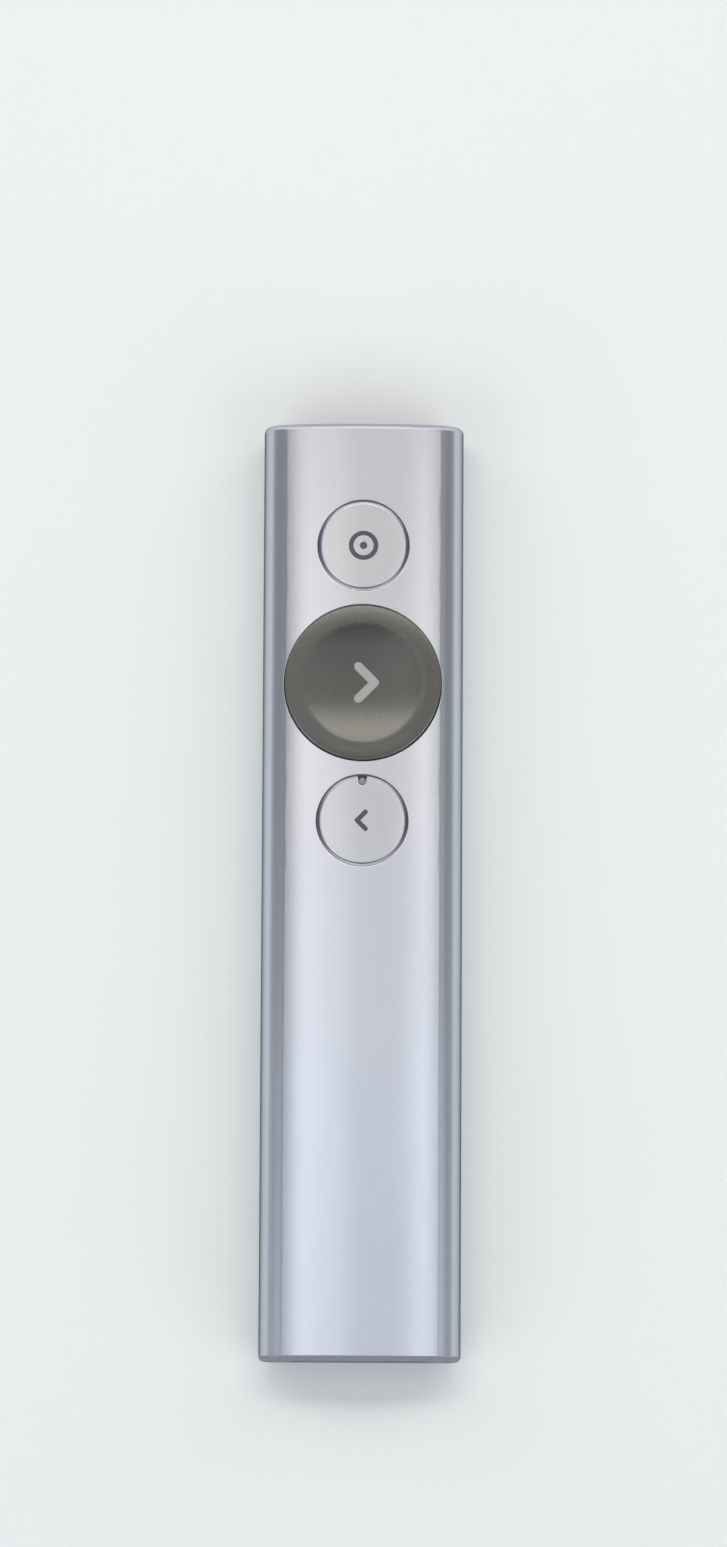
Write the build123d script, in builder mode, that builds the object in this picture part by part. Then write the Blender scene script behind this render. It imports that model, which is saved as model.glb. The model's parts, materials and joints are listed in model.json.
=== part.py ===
from build123d import *
import os
from math import hypot, sqrt

# Wireless presentation clicker: a slim aluminium bar with three round buttons, and a USB
# receiver that is stored in its tail.
# X runs across the bar, Y along it with the pointing end at +Y, and Z up from the belly.
# Every size is in millimetres.

# ---------------------------------------------------------------- driving dimensions

# The bar
body_length = 131.3
body_width = 28.1
shell_height = 11.2  # from the belly to the top of the crown
crown_radius = 52.0  # the gentle arch of the top face
shoulder_radius = 4.2  # where the top face turns into the side
belly_radius = 5.0  # where the side turns into the flat belly
shell_wall = 1.2
rim_wall = 0.9  # what is left of the wall where an end piece is let in
rim_depth = 3.3
rim_round = 0.7
end_setback = 0.3  # how far both end pieces sit inside the rims

# Clearances between pieces that are only slid together
seat_gap = 0.05  # an end piece's flange in the rim
plug_gap = 0.10  # an end piece's plug in the tube
tray_gap = 0.15  # the tray and the deck in the tube
crown_gap = 0.10  # a button's flange under the crown
guide_gap = 0.10  # a guide pin in its hole
screw_gap = 0.10  # a screw in a clearance hole
thread_gap = 0.02  # a screw in its pilot hole

# The buttons
pointer_from_front = 17.4  # middle of the pointer button to the pointing end
button_pitch = 19.4
small_cap_radius = 6.0
small_cap_gap = 0.45
small_press = 0.4  # how far a small button travels
next_cap_radius = 10.9
next_cap_gap = 0.15
next_press = 0.5
next_rise = 0.9  # the ring's crest above the crown
next_edge_rise = 0.7  # the ring's outer edge above the crown
next_ring_width = 2.35
next_ring_crown = 0.03  # how much the ring's slope bulges
next_dish_depth = 0.9
crest_round = 0.5
ring_edge_round = 0.3
hole_chamfer = 0.15
cap_edge_round = 0.12
small_lip = 0.65  # how far a flange reaches under the crown
next_lip = 0.70
cap_thickness = 1.9
skirt_depth = 2.3  # the next cap's skirt, below the crown
core_depth = 1.0  # the next core's top, below the crown
core_wall = 1.2  # the next cap's wall round its core
core_pocket_inner = 2.6  # the moulded ring pocket under the next core
core_pocket_outer = 5.9
core_pocket_depth = 1.4
flange_depth = 3.2  # the underside of all three flanges, below the crown
press_spare = 0.2  # left between a flange and the deck at the end of a press
post_radius = 1.5
post_gap = 0.3
pin_radius = 0.8
pin_reach = 2.1
small_pin_x = 4.5
next_pin_x = 7.5
icon_depth = 0.4
target_ring_radius = 2.08
target_ring_stroke = 0.69
target_dot_radius = 0.5
next_mark_reach = 3.08  # half the height of the arrow mark
next_mark_stroke = 1.28
next_mark_tip = 2.7
back_mark_reach = 1.6
back_mark_stroke = 0.6
back_mark_tip = 1.15
mark_blunting = 0.45  # the tip's rounding, as a share of the stroke

# The stack inside, from the belly up
tray_wall = 0.8
board_bottom = 3.2
board_thickness = 0.8
deck_thickness = 1.0
board_rim = 0.5  # of the board outside the deck's screws
board_corner = 1.0
dome_radius = 2.5
dome_rise = 0.55
dome_sheet = 0.1
dome_gap = 0.05

# Screws, all of one thread
screw_radius = 0.8
head_radius = 1.5
head_height = 0.8
recess_length = 1.8
recess_width = 0.35
recess_depth = 0.45
thread_reach = 1.3  # of the deck's screws, in the tray
deck_leg_radius = 1.7
deck_screw_inset = 4.75  # from the bar's side
deck_screw_share = 0.55  # of the pitch, from the next button
deck_margin = 1.35
tray_boss_radius = 1.8

# The front end
front_plug_depth = 3.15
front_face = 1.5
front_wall = 1.2
front_pocket_wall = 1.2
front_boss_radius = 1.9
front_screw_x = 7.0
front_screw_reach = 3.0
front_flange_chamfer = 0.2
end_wall_rise = 2.4  # of the tray's end walls above the line of the end screws

# The receiver and its bay
plug_width = 12.0
plug_height = 4.5
plug_length = 12.0
plug_embed = 1.4
plug_sheet = 0.3
plug_corner = 0.4
head_thickness = 3.1
head_gap = 0.12
recess_inset = 1.9
recess_clearance = 0.1
bay_side_gap = 0.3  # beside the plug
bay_height_gap = 1.1  # above and below it, for a charging cable's moulding
bay_corner = 1.2
tip_gap = 0.5
bay_wall = 1.2
nail_slot_length = 11.0
nail_slot_height = 1.8
nail_slot_depth = 0.9
tail_screw_wall = 1.5  # between the bay and a screw's well
tail_screw_seat = 2.05
tail_screw_length = 6.0
tail_boss_length = 5.0
tail_boss_wall = 1.2
tongue_gap = 0.3

# The receiver's insides
carrier_height = 1.1
receiver_board_thickness = 0.6
plug_mouth = 0.3  # how far the carrier sits inside the plug's mouth
contact_setback = 0.9  # from the plug's tip
contact_width = 1.0
contact_thickness = 0.08
inner_contact_x = 1.0
outer_contact_x = 3.5
inner_contact_length = 6.4
outer_contact_length = 7.4
latch_window_width = 2.5
latch_window_length = 2.0
latch_window_x = 2.9
latch_window_back = 5.2
receiver_chip_back = 10.9
head_edge_round = 0.3

# The charging socket
socket_width = 8.94
socket_height = 3.16
socket_length = 7.35
socket_sheet = 0.3
socket_corner = 1.2
socket_setback = 0.15
socket_window_gap = 0.08
socket_base = 1.5
blade_width = 6.7
blade_height = 0.7
blade_length = 4.6
pad_count = 12
pad_pitch = 0.5
pad_width = 0.25
pad_length = 3.4
pad_thickness = 0.04

# The status light, beside the back button
light_radius = 0.5
light_gap = 0.15
light_overlap = 0.5  # how far the light's middle lies inside the cap's edge
light_collar_radius = 0.8
led_size = (1.6, 0.8, 0.6)

# The cell and its leads
battery_width = 12.0
battery_height = 3.8
battery_corner = 1.0
battery_edge_round = 0.4
battery_pad_thickness = 0.3
battery_pad_margin = 1.5
battery_room = 4.25  # from the socket's back to the cell
guard_size = (10.0, 2.4, 0.8)
header_x = -3.6
header_setback = 1.4  # from the deck's tail edge
header_size = (5.4, 3.6, 1.9)
header_wall = 0.4
header_back_wall = 0.8
header_plug_out = 0.8
lead_radius = 0.35
lead_spread = 0.7

# The vibration motor
motor_radius = 4.0
motor_height = 2.7
motor_x = 5.5
motor_gap = 0.6
motor_sheet = 0.2
motor_base_thickness = 0.3
motor_pad_thickness = 0.15
motor_shaft_radius = 0.4
magnet_radius = 3.2
magnet_hole_radius = 1.3
magnet_height = 0.6
rotor_radius = 3.5
rotor_hub_radius = 1.0
rotor_height = 1.1
rotor_gap = 0.05
rotor_lift = 0.15
motor_lead_radius = 0.25
motor_lead_length = 2.0
motor_lead_offsets = (-1.5, -2.2)
motor_lead_lift = 0.05

# Small parts on the circuit board, as width, length and height
radio_chip_size = (5.0, 5.0, 0.9)
sensor_size = (3.0, 3.0, 0.9)
crystal_size = (2.0, 1.6, 0.5)
antenna_size = (5.0, 2.0, 1.0)
charger_size = (3.0, 3.0, 0.8)
receiver_chip_size = (3.2, 3.0, 0.8)
capacitor_size = (1.0, 0.5, 0.5)
chip_edge = 0.1
chip_dimple_radius = 0.2
chip_dimple_wall = 0.3  # from the dimple to the package's sides
chip_dimple_depth = 0.05
radio_chip_x = -5.0
sensor_x = 4.5
crystal_x = -0.5
capacitor_columns = (-7.0, -5.0, -3.0, 3.5, 5.5)
capacitor_row = 3.5  # from the chips' line to each row of capacitors
board_margin = 0.2
board_tail_margin = 1.05

# ---------------------------------------------------------------- places that follow

front_y = body_length / 2
tail_y = -body_length / 2
crown_top = shell_height

pointer_y = front_y - pointer_from_front
next_y = pointer_y - button_pitch
back_y = next_y - button_pitch
small_hole_radius = small_cap_radius + small_cap_gap
next_hole_radius = next_cap_radius + next_cap_gap
small_flange_radius = small_hole_radius + small_lip
next_flange_radius = next_hole_radius + next_lip

flange_bottom = crown_top - flange_depth
deck_top = flange_bottom - max(small_press, next_press) - press_spare
deck_bottom = deck_top - deck_thickness
board_top = board_bottom + board_thickness
tray_inset = shell_wall + tray_gap
tray_inner = tray_inset + tray_wall
tray_height = deck_bottom - tray_gap
end_line_z = board_top + socket_height / 2  # the middle of the socket, the plug and the bay

deck_front_y = pointer_y + small_flange_radius + deck_margin
deck_tail_y = back_y - small_flange_radius - deck_margin
deck_screw_x = body_width / 2 - deck_screw_inset
deck_screw_y = deck_screw_share * button_pitch
deck_screw_points = [
    (side * deck_screw_x, next_y + end * deck_screw_y) for side in (-1, 1) for end in (-1, 1)
]
board_width = 2 * (deck_screw_x + screw_radius + screw_gap + board_rim)
light_y = back_y + small_cap_radius - light_overlap

front_plug_y = front_y - rim_depth
tray_front_y = front_plug_y - front_plug_depth
tray_back_of_front_y = tray_front_y - front_wall

tail_face_y = tail_y + end_setback
recess_floor_y = tail_face_y + head_thickness + recess_clearance
head_front_y = tail_face_y + head_thickness
plug_tip_y = head_front_y + plug_length
bay_end_y = plug_tip_y + tip_gap
frame_front_y = bay_end_y + bay_wall
bay_width = plug_width + 2 * bay_side_gap
bay_height = plug_height + 2 * bay_height_gap
tail_screw_x = bay_width / 2 + tail_screw_wall + head_radius + screw_gap
tail_boss_inner_x = tail_screw_x - screw_radius - thread_gap - tail_boss_wall
tongue_half_width = tail_boss_inner_x - tongue_gap
socket_front_y = bay_end_y + socket_setback
socket_back_y = socket_front_y + socket_length
tail_boss_front_y = frame_front_y + tail_boss_length
end_wall_top = end_line_z + end_wall_rise

board_front_y = tray_back_of_front_y - board_margin
board_tail_y = tail_boss_front_y + board_tail_margin
motor_y = deck_tail_y - motor_gap - motor_radius
motor_bottom = board_top + motor_pad_thickness
motor_floor = motor_bottom + motor_base_thickness
motor_top = motor_bottom + motor_height
guard_front_y = motor_y - motor_radius - motor_gap
battery_front_y = guard_front_y - guard_size[1]
battery_tail_y = socket_back_y + battery_room
battery_bottom = board_top + battery_pad_thickness
header_back_y = deck_tail_y - header_setback - header_size[1]
header_plug_y = header_back_y - header_plug_out
header_z = board_top + header_size[2] / 2
carrier_top = end_line_z - plug_height / 2 + plug_sheet + carrier_height
receiver_board_top = carrier_top + receiver_board_thickness
chip_row_y = (next_y + pointer_y) / 2

centre_low = (Align.CENTER, Align.CENTER, Align.MIN)
centre_high = (Align.CENTER, Align.CENTER, Align.MAX)


# ---------------------------------------------------------------- shared shapes


def cross_plane(y, z=0.0):
    """A plane across the bar at y: its x is the bar's X, its y is Z, and it looks to the tail."""
    return Plane(origin=(0, y, z), x_dir=(1, 0, 0), z_dir=(0, -1, 0))


def bar_outline(inset):
    """The bar's cross-section pulled in by inset, added to the sketch that is open."""
    with Locations((0, inset)):
        Rectangle(body_width - 2 * inset, 2 * shell_height, align=(Align.CENTER, Align.MIN))
    with Locations((0, crown_top - crown_radius)):
        Circle(crown_radius - inset, mode=Mode.INTERSECT)
    fillet(vertices().group_by(Axis.Y)[0], belly_radius - inset)
    fillet(vertices().group_by(Axis.Y)[-1], shoulder_radius - inset)


def bar_slice(y_front, length, inset, mode=Mode.ADD):
    """A stretch of the bar's outline that runs from y_front towards the tail."""
    with BuildSketch(cross_plane(y_front)) as section:
        bar_outline(inset)
    extrude(section.sketch, amount=length, mode=mode)


def keep_heights(low, high):
    """Keep only what of the open part lies between two heights."""
    with Locations((0, 0, low)):
        Box(2 * body_width, 2 * body_length, high - low, align=centre_low, mode=Mode.INTERSECT)


def rods(points, radius, low, high, mode=Mode.ADD):
    """Upright round rods, or holes, between two heights."""
    with Locations(*[(x, y, low) for x, y in points]):
        Cylinder(radius, high - low, align=centre_low, mode=mode)


def rounded_bar(plane, width, height, corner, length, mode=Mode.ADD):
    """A bar of rounded rectangular section, extruded along the plane's normal."""
    with BuildSketch(plane) as section:
        RectangleRounded(width, height, corner)
    extrude(section.sketch, amount=length, mode=mode)


def screws(points, shank_length):
    """Cross-recessed screws seated on the open part's plane, heads up and shanks down."""
    with Locations(*points):
        Cylinder(head_radius, head_height, align=centre_low)
        Cylinder(screw_radius, shank_length, align=centre_high)
    with Locations(*[(x, y, head_height) for x, y in points]):
        Box(recess_length, recess_width, recess_depth, align=centre_high, mode=Mode.SUBTRACT)
        Box(recess_width, recess_length, recess_depth, align=centre_high, mode=Mode.SUBTRACT)


def arrow_mark(reach, stroke, tip_x, facing):
    """An arrow mark with square arms at 45 degrees, added to the sketch that is open."""
    step = stroke / sqrt(2)
    outline = [
        (tip_x, 0),
        (tip_x - reach, reach),
        (tip_x - reach - step, reach - step),
        (tip_x - 2 * step, 0),
        (tip_x - reach - step, step - reach),
        (tip_x - reach, -reach),
    ]
    Polygon(*[(facing * x, y) for x, y in outline], align=None)
    tip = vertices().sort_by(lambda corner: -facing * corner.X)[0]
    fillet(tip, mark_blunting * stroke)


def target_mark():
    """A dot in a ring, added to the sketch that is open."""
    Circle(target_ring_radius)
    Circle(target_ring_radius - target_ring_stroke, mode=Mode.SUBTRACT)
    Circle(target_dot_radius)


def dome_profile(radius, rise):
    """Half of a shallow dome's outline, from its top to its foot."""
    RadiusArc((0, rise), (radius, 0), (radius**2 + rise**2) / (2 * rise))


def switch_dome(center_y):
    """A thin spring dome that stands on the board under a button's post."""
    with BuildLine() as outline:
        dome_profile(dome_radius, dome_rise)
        dome_profile(dome_radius - dome_sheet, dome_rise - dome_sheet)
        Line((0, dome_rise), (0, dome_rise - dome_sheet))
        Line((dome_radius, 0), (dome_radius - dome_sheet, 0))
    with BuildSketch(cross_plane(center_y, board_top)) as profile:
        make_face(outline.edges())
    revolve(profile.sketch, axis=Axis((0, center_y, 0), (0, 0, 1)))


def chip(x, y, z, size):
    """A small moulded package with a broken top edge and a dimple at its first corner."""
    with Locations((x, y, z)):
        Box(*size, align=centre_low)
    chamfer(faces().sort_by(Axis.Z)[-1].edges(), chip_edge)
    dimple_inset = chip_dimple_wall + chip_dimple_radius
    dimple = (x - size[0] / 2 + dimple_inset, y + size[1] / 2 - dimple_inset)
    rods(
        [dimple], chip_dimple_radius, z + size[2] - chip_dimple_depth, z + size[2], Mode.SUBTRACT
    )


def finish(piece, name):
    """Label a finished piece and write it as its own STEP file."""
    piece.part.label = name
    export_step(piece.part, f"parts/{name}.step")


os.makedirs("parts", exist_ok=True)

# ---------------------------------------------------------------- casing

# One tube of drawn aluminium, open at both ends and stepped inside each rim
with BuildPart() as outer_shell:
    bar_slice(front_y, body_length, 0)
    rims = edges().filter_by(lambda edge: abs(abs(edge.center().Y) - front_y) < 0.001)
    fillet(rims, rim_round)
    bar_slice(front_y, body_length, shell_wall, Mode.SUBTRACT)
    bar_slice(front_y, rim_depth, rim_wall, Mode.SUBTRACT)
    bar_slice(tail_y + rim_depth, rim_depth, rim_wall, Mode.SUBTRACT)
    for hole_y, hole_radius in (
        (pointer_y, small_hole_radius),
        (next_y, next_hole_radius),
        (back_y, small_hole_radius),
    ):
        rods([(0, hole_y)], hole_radius, shell_height / 2, 2 * shell_height, Mode.SUBTRACT)
        chamfer(edges(Select.LAST).group_by(Axis.Z)[-1], hole_chamfer)
finish(outer_shell, "outer_shell")

# The moulded cap that closes the pointing end
with BuildPart() as front_cap:
    bar_slice(front_y - end_setback, rim_depth - end_setback, rim_wall + seat_gap)
    chamfer(faces().sort_by(Axis.Y)[-1].edges(), front_flange_chamfer)
    bar_slice(front_plug_y, front_plug_depth - end_setback, shell_wall + plug_gap)
    bar_slice(
        front_y - end_setback - front_face,
        body_length / 2,
        shell_wall + plug_gap + front_pocket_wall,
        Mode.SUBTRACT,
    )
    boss_length = front_y - end_setback - front_face - tray_front_y
    with BuildSketch(cross_plane(tray_front_y + boss_length, end_line_z)) as bosses:
        with Locations((-front_screw_x, 0), (front_screw_x, 0)):
            Circle(front_boss_radius)
    extrude(bosses.sketch, amount=boss_length)
    with BuildSketch(cross_plane(tray_front_y + front_screw_reach, end_line_z)) as pilots:
        with Locations((-front_screw_x, 0), (front_screw_x, 0)):
            Circle(screw_radius + thread_gap)
    extrude(pilots.sketch, amount=front_screw_reach, mode=Mode.SUBTRACT)
finish(front_cap, "front_cap")

# The moulded tail: the receiver's bay, with a window for the charging socket at its end
with BuildPart() as tail_frame:
    bar_slice(tail_y + rim_depth, rim_depth - end_setback, rim_wall + seat_gap)
    bar_slice(frame_front_y, frame_front_y - tail_y - rim_depth, shell_wall + plug_gap)
    bar_slice(recess_floor_y, recess_floor_y - tail_face_y, recess_inset, Mode.SUBTRACT)
    rounded_bar(
        cross_plane(bay_end_y, end_line_z),
        bay_width,
        bay_height,
        bay_corner,
        bay_end_y - tail_face_y,
        Mode.SUBTRACT,
    )
    rounded_bar(
        cross_plane(frame_front_y, end_line_z),
        socket_width + 2 * socket_window_gap,
        socket_height + 2 * socket_window_gap,
        socket_corner + socket_window_gap,
        bay_wall,
        Mode.SUBTRACT,
    )
    with BuildSketch(cross_plane(frame_front_y, end_line_z)) as tail_holes:
        with Locations((-tail_screw_x, 0), (tail_screw_x, 0)):
            Circle(screw_radius + screw_gap)
    extrude(tail_holes.sketch, amount=tail_screw_seat, mode=Mode.SUBTRACT)
    with BuildSketch(cross_plane(frame_front_y - tail_screw_seat, end_line_z)) as tail_wells:
        with Locations((-tail_screw_x, 0), (tail_screw_x, 0)):
            Circle(head_radius + screw_gap)
    extrude(
        tail_wells.sketch,
        amount=frame_front_y - tail_screw_seat - recess_floor_y,
        mode=Mode.SUBTRACT,
    )
finish(tail_frame, "tail_frame")

# ---------------------------------------------------------------- tray and deck

# The tray carries the circuit board, and both end pieces are screwed to it
with BuildPart() as chassis_tray:
    bar_slice(tray_front_y, tray_front_y - frame_front_y, tray_inset)
    bar_slice(tray_back_of_front_y, body_length, tray_inner, Mode.SUBTRACT)
    with Locations((0, tray_back_of_front_y, tray_height)):
        Box(
            2 * body_width,
            2 * body_length,
            shell_height,
            align=(Align.CENTER, Align.MAX, Align.MIN),
            mode=Mode.SUBTRACT,
        )
    with BuildSketch(cross_plane(tail_boss_front_y)) as tail_bosses:
        bar_outline(tray_inset)
        Rectangle(2 * tail_boss_inner_x, 2 * shell_height, mode=Mode.SUBTRACT)
    extrude(tail_bosses.sketch, amount=tail_boss_length)
    keep_heights(0, end_wall_top)
    rods(deck_screw_points, tray_boss_radius, tray_inner - tray_wall / 2, board_bottom)
    bar_slice(front_y, body_length, tray_inset, Mode.INTERSECT)
    rods(
        deck_screw_points,
        screw_radius + thread_gap,
        board_bottom - thread_reach - thread_gap,
        board_bottom,
        Mode.SUBTRACT,
    )
    with BuildSketch(cross_plane(tray_front_y, end_line_z)) as front_holes:
        with Locations((-front_screw_x, 0), (front_screw_x, 0)):
            Circle(screw_radius + screw_gap)
    extrude(front_holes.sketch, amount=front_wall, mode=Mode.SUBTRACT)
    with BuildSketch(cross_plane(tail_boss_front_y, end_line_z)) as tail_pilots:
        with Locations((-tail_screw_x, 0), (tail_screw_x, 0)):
            Circle(screw_radius + thread_gap)
    extrude(tail_pilots.sketch, amount=tail_boss_length, mode=Mode.SUBTRACT)
finish(chassis_tray, "chassis_tray")

# The deck holds the three buttons square over their switches
with BuildPart() as button_deck:
    bar_slice(deck_front_y, deck_front_y - deck_tail_y, tray_inset)
    keep_heights(deck_bottom, deck_top)
    rods(deck_screw_points, deck_leg_radius, board_top, deck_bottom)
    rods(deck_screw_points, screw_radius + screw_gap, board_top, deck_top, Mode.SUBTRACT)
    button_points = [(0, pointer_y), (0, next_y), (0, back_y)]
    rods(button_points, post_radius + post_gap, deck_bottom, deck_top, Mode.SUBTRACT)
    pin_points = [
        (side * pin_x, y)
        for side in (-1, 1)
        for pin_x, y in ((small_pin_x, pointer_y), (next_pin_x, next_y), (small_pin_x, back_y))
    ]
    rods(pin_points, pin_radius + guide_gap, deck_bottom, deck_top, Mode.SUBTRACT)
    rods([(0, light_y)], light_radius + thread_gap, deck_bottom, deck_top, Mode.SUBTRACT)
finish(button_deck, "button_deck")

with BuildPart(Plane.XY.offset(deck_top)) as deck_screws:
    screws(deck_screw_points, deck_top - board_bottom + thread_reach)
finish(deck_screws, "deck_screws")

with BuildPart(cross_plane(tray_back_of_front_y, end_line_z)) as front_screws:
    screws([(-front_screw_x, 0), (front_screw_x, 0)], front_wall + front_screw_reach)
finish(front_screws, "front_screws")

with BuildPart(cross_plane(frame_front_y - tail_screw_seat, end_line_z)) as tail_screws:
    screws([(-tail_screw_x, 0), (tail_screw_x, 0)], tail_screw_length)
finish(tail_screws, "tail_screws")

# ---------------------------------------------------------------- buttons


def cap_space(center_y, radius, low):
    """A round plug at center_y that ends flush with the crown, added to the open part."""
    rods([(0, center_y)], radius, low, 2 * shell_height)
    bar_slice(front_y, body_length, 0, Mode.INTERSECT)


def small_plunger(center_y):
    """The flange, post and guide pins that carry a small cap."""
    rods([(0, center_y)], small_flange_radius, flange_bottom, 2 * shell_height)
    bar_slice(front_y, body_length, shell_wall + crown_gap, Mode.INTERSECT)
    rods(
        [(0, center_y)],
        small_cap_radius,
        crown_top - cap_thickness,
        2 * shell_height,
        Mode.SUBTRACT,
    )
    rods([(0, center_y)], post_radius, board_top + dome_rise + dome_gap, flange_bottom)
    pins = [(-small_pin_x, center_y), (small_pin_x, center_y)]
    rods(pins, pin_radius, flange_bottom - pin_reach, flange_bottom)


with BuildPart() as pointer_cap:
    cap_space(pointer_y, small_cap_radius, crown_top - cap_thickness)
    fillet(faces().sort_by(Axis.Z)[-1].edges(), cap_edge_round)
    with BuildSketch(Plane.XY.offset(crown_top - icon_depth)) as target_pocket:
        with Locations((0, pointer_y)):
            target_mark()
    extrude(target_pocket.sketch, amount=shell_height, mode=Mode.SUBTRACT)
finish(pointer_cap, "pointer_cap")

with BuildPart() as pointer_icon:
    with BuildSketch(Plane.XY.offset(crown_top - icon_depth)) as target_inlay:
        with Locations((0, pointer_y)):
            target_mark()
    extrude(target_inlay.sketch, amount=shell_height)
    bar_slice(front_y, body_length, 0, Mode.INTERSECT)
finish(pointer_icon, "pointer_icon")

with BuildPart() as pointer_plunger:
    small_plunger(pointer_y)
finish(pointer_plunger, "pointer_plunger")

with BuildPart() as back_cap:
    cap_space(back_y, small_cap_radius, crown_top - cap_thickness)
    fillet(faces().sort_by(Axis.Z)[-1].edges(), cap_edge_round)
    with BuildSketch(Plane.XY.offset(crown_top - icon_depth)) as back_pocket:
        with Locations((0, back_y)):
            arrow_mark(back_mark_reach, back_mark_stroke, back_mark_tip, -1)
    extrude(back_pocket.sketch, amount=shell_height, mode=Mode.SUBTRACT)
    rods([(0, light_y)], light_radius + light_gap, 0, 2 * shell_height, Mode.SUBTRACT)
finish(back_cap, "back_cap")

with BuildPart() as back_icon:
    with BuildSketch(Plane.XY.offset(crown_top - icon_depth)) as back_inlay:
        with Locations((0, back_y)):
            arrow_mark(back_mark_reach, back_mark_stroke, back_mark_tip, -1)
    extrude(back_inlay.sketch, amount=shell_height)
    bar_slice(front_y, body_length, 0, Mode.INTERSECT)
finish(back_icon, "back_icon")

with BuildPart() as back_plunger:
    small_plunger(back_y)
    rods([(0, light_y)], light_radius + light_gap, 0, 2 * shell_height, Mode.SUBTRACT)
finish(back_plunger, "back_plunger")


def next_cap_body(mode=Mode.ADD):
    """The next cap without its mark: a dished disc with a sloping ring, over a hollow skirt."""
    crest_radius = next_cap_radius - next_ring_width
    crest_z = crown_top + next_rise
    dish_z = crest_z - next_dish_depth
    edge_z = crown_top + next_edge_rise
    dish_sphere = (crest_radius**2 + next_dish_depth**2) / (2 * next_dish_depth)
    ring_middle = (
        next_cap_radius - next_ring_width / 2,
        (crest_z + edge_z) / 2 + next_ring_crown,
    )
    with BuildLine() as outline:
        RadiusArc((0, dish_z), (crest_radius, crest_z), -dish_sphere)
        ThreePointArc((crest_radius, crest_z), ring_middle, (next_cap_radius, edge_z))
        Polyline(
            (next_cap_radius, edge_z),
            (next_cap_radius, crown_top - skirt_depth),
            (next_cap_radius - core_wall, crown_top - skirt_depth),
            (next_cap_radius - core_wall, crown_top - core_depth),
            (0, crown_top - core_depth),
            (0, dish_z),
        )
    with BuildSketch(cross_plane(next_y)) as profile:
        make_face(outline.edges())
        crest = vertices().sort_by(lambda v: hypot(v.X - crest_radius, v.Y - crest_z))[0]
        fillet(crest, crest_round)
        edge = vertices().sort_by(lambda v: hypot(v.X - next_cap_radius, v.Y - edge_z))[0]
        fillet(edge, ring_edge_round)
    revolve(profile.sketch, axis=Axis((0, next_y, 0), (0, 0, 1)), mode=mode)


mark_floor = crown_top + next_rise - next_dish_depth - icon_depth

with BuildPart() as next_cap:
    next_cap_body()
    with BuildSketch(Plane.XY.offset(mark_floor)) as next_pocket:
        with Locations((0, next_y)):
            arrow_mark(next_mark_reach, next_mark_stroke, next_mark_tip, 1)
    extrude(next_pocket.sketch, amount=shell_height, mode=Mode.SUBTRACT)
finish(next_cap, "next_cap")

with BuildPart() as next_icon:
    with BuildSketch(Plane.XY.offset(mark_floor)) as next_inlay:
        with Locations((0, next_y)):
            arrow_mark(next_mark_reach, next_mark_stroke, next_mark_tip, 1)
    extrude(next_inlay.sketch, amount=shell_height)
    next_cap_body(Mode.INTERSECT)
finish(next_icon, "next_icon")

with BuildPart() as next_core:
    rods([(0, next_y)], next_flange_radius, flange_bottom, 2 * shell_height)
    with Locations((0, next_y)):
        Box(2 * next_cap_radius, 4 * next_cap_radius, 4 * shell_height, mode=Mode.INTERSECT)
    bar_slice(front_y, body_length, shell_wall + crown_gap, Mode.INTERSECT)
    rods(
        [(0, next_y)],
        next_cap_radius,
        crown_top - skirt_depth,
        2 * shell_height,
        Mode.SUBTRACT,
    )
    rods(
        [(0, next_y)],
        next_cap_radius - core_wall,
        flange_bottom,
        crown_top - core_depth,
    )
    with BuildSketch(Plane.XY.offset(flange_bottom)) as core_pocket:
        with Locations((0, next_y)):
            Circle(core_pocket_outer)
            Circle(core_pocket_inner, mode=Mode.SUBTRACT)
    extrude(core_pocket.sketch, amount=core_pocket_depth, mode=Mode.SUBTRACT)
    rods([(0, next_y)], post_radius, board_top + dome_rise + dome_gap, flange_bottom)
    pins = [(-next_pin_x, next_y), (next_pin_x, next_y)]
    rods(pins, pin_radius, flange_bottom - pin_reach, flange_bottom)
finish(next_core, "next_core")

# ---------------------------------------------------------------- circuit board

with BuildPart() as main_board:
    with BuildSketch(Plane.XY.offset(board_bottom)) as board_outline:
        with Locations((0, board_tail_y)):
            Rectangle(
                board_width, board_front_y - board_tail_y, align=(Align.CENTER, Align.MIN)
            )
        fillet(vertices(), board_corner)
        with Locations((0, frame_front_y + board_margin)):
            Rectangle(
                2 * tongue_half_width,
                battery_room + socket_length,
                align=(Align.CENTER, Align.MIN),
            )
        with Locations(*deck_screw_points):
            Circle(screw_radius + screw_gap, mode=Mode.SUBTRACT)
    extrude(board_outline.sketch, amount=board_thickness)
finish(main_board, "main_board")

with BuildPart() as pointer_dome:
    switch_dome(pointer_y)
finish(pointer_dome, "pointer_dome")

with BuildPart() as next_dome:
    switch_dome(next_y)
finish(next_dome, "next_dome")

with BuildPart() as back_dome:
    switch_dome(back_y)
finish(back_dome, "back_dome")

with BuildPart() as status_led:
    with Locations((0, light_y, board_top)):
        Box(*led_size, align=centre_low)
finish(status_led, "status_led")

# A clear pin that carries the light up to a notch in the back button's edge
with BuildPart() as light_pipe:
    rods([(0, light_y)], light_radius, deck_bottom, 2 * shell_height)
    bar_slice(front_y, body_length, crown_gap, Mode.INTERSECT)
    rods([(0, light_y)], light_collar_radius, board_top + led_size[2] + light_gap, deck_bottom)
finish(light_pipe, "light_pipe")

with BuildPart() as radio_chip:
    chip(radio_chip_x, chip_row_y, board_top, radio_chip_size)
finish(radio_chip, "radio_chip")

with BuildPart() as motion_sensor:
    chip(sensor_x, chip_row_y, board_top, sensor_size)
finish(motion_sensor, "motion_sensor")

with BuildPart() as crystal:
    chip(crystal_x, chip_row_y, board_top, crystal_size)
finish(crystal, "crystal")

with BuildPart() as antenna:
    chip(0, board_front_y - antenna_size[1], board_top, antenna_size)
finish(antenna, "antenna")

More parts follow.
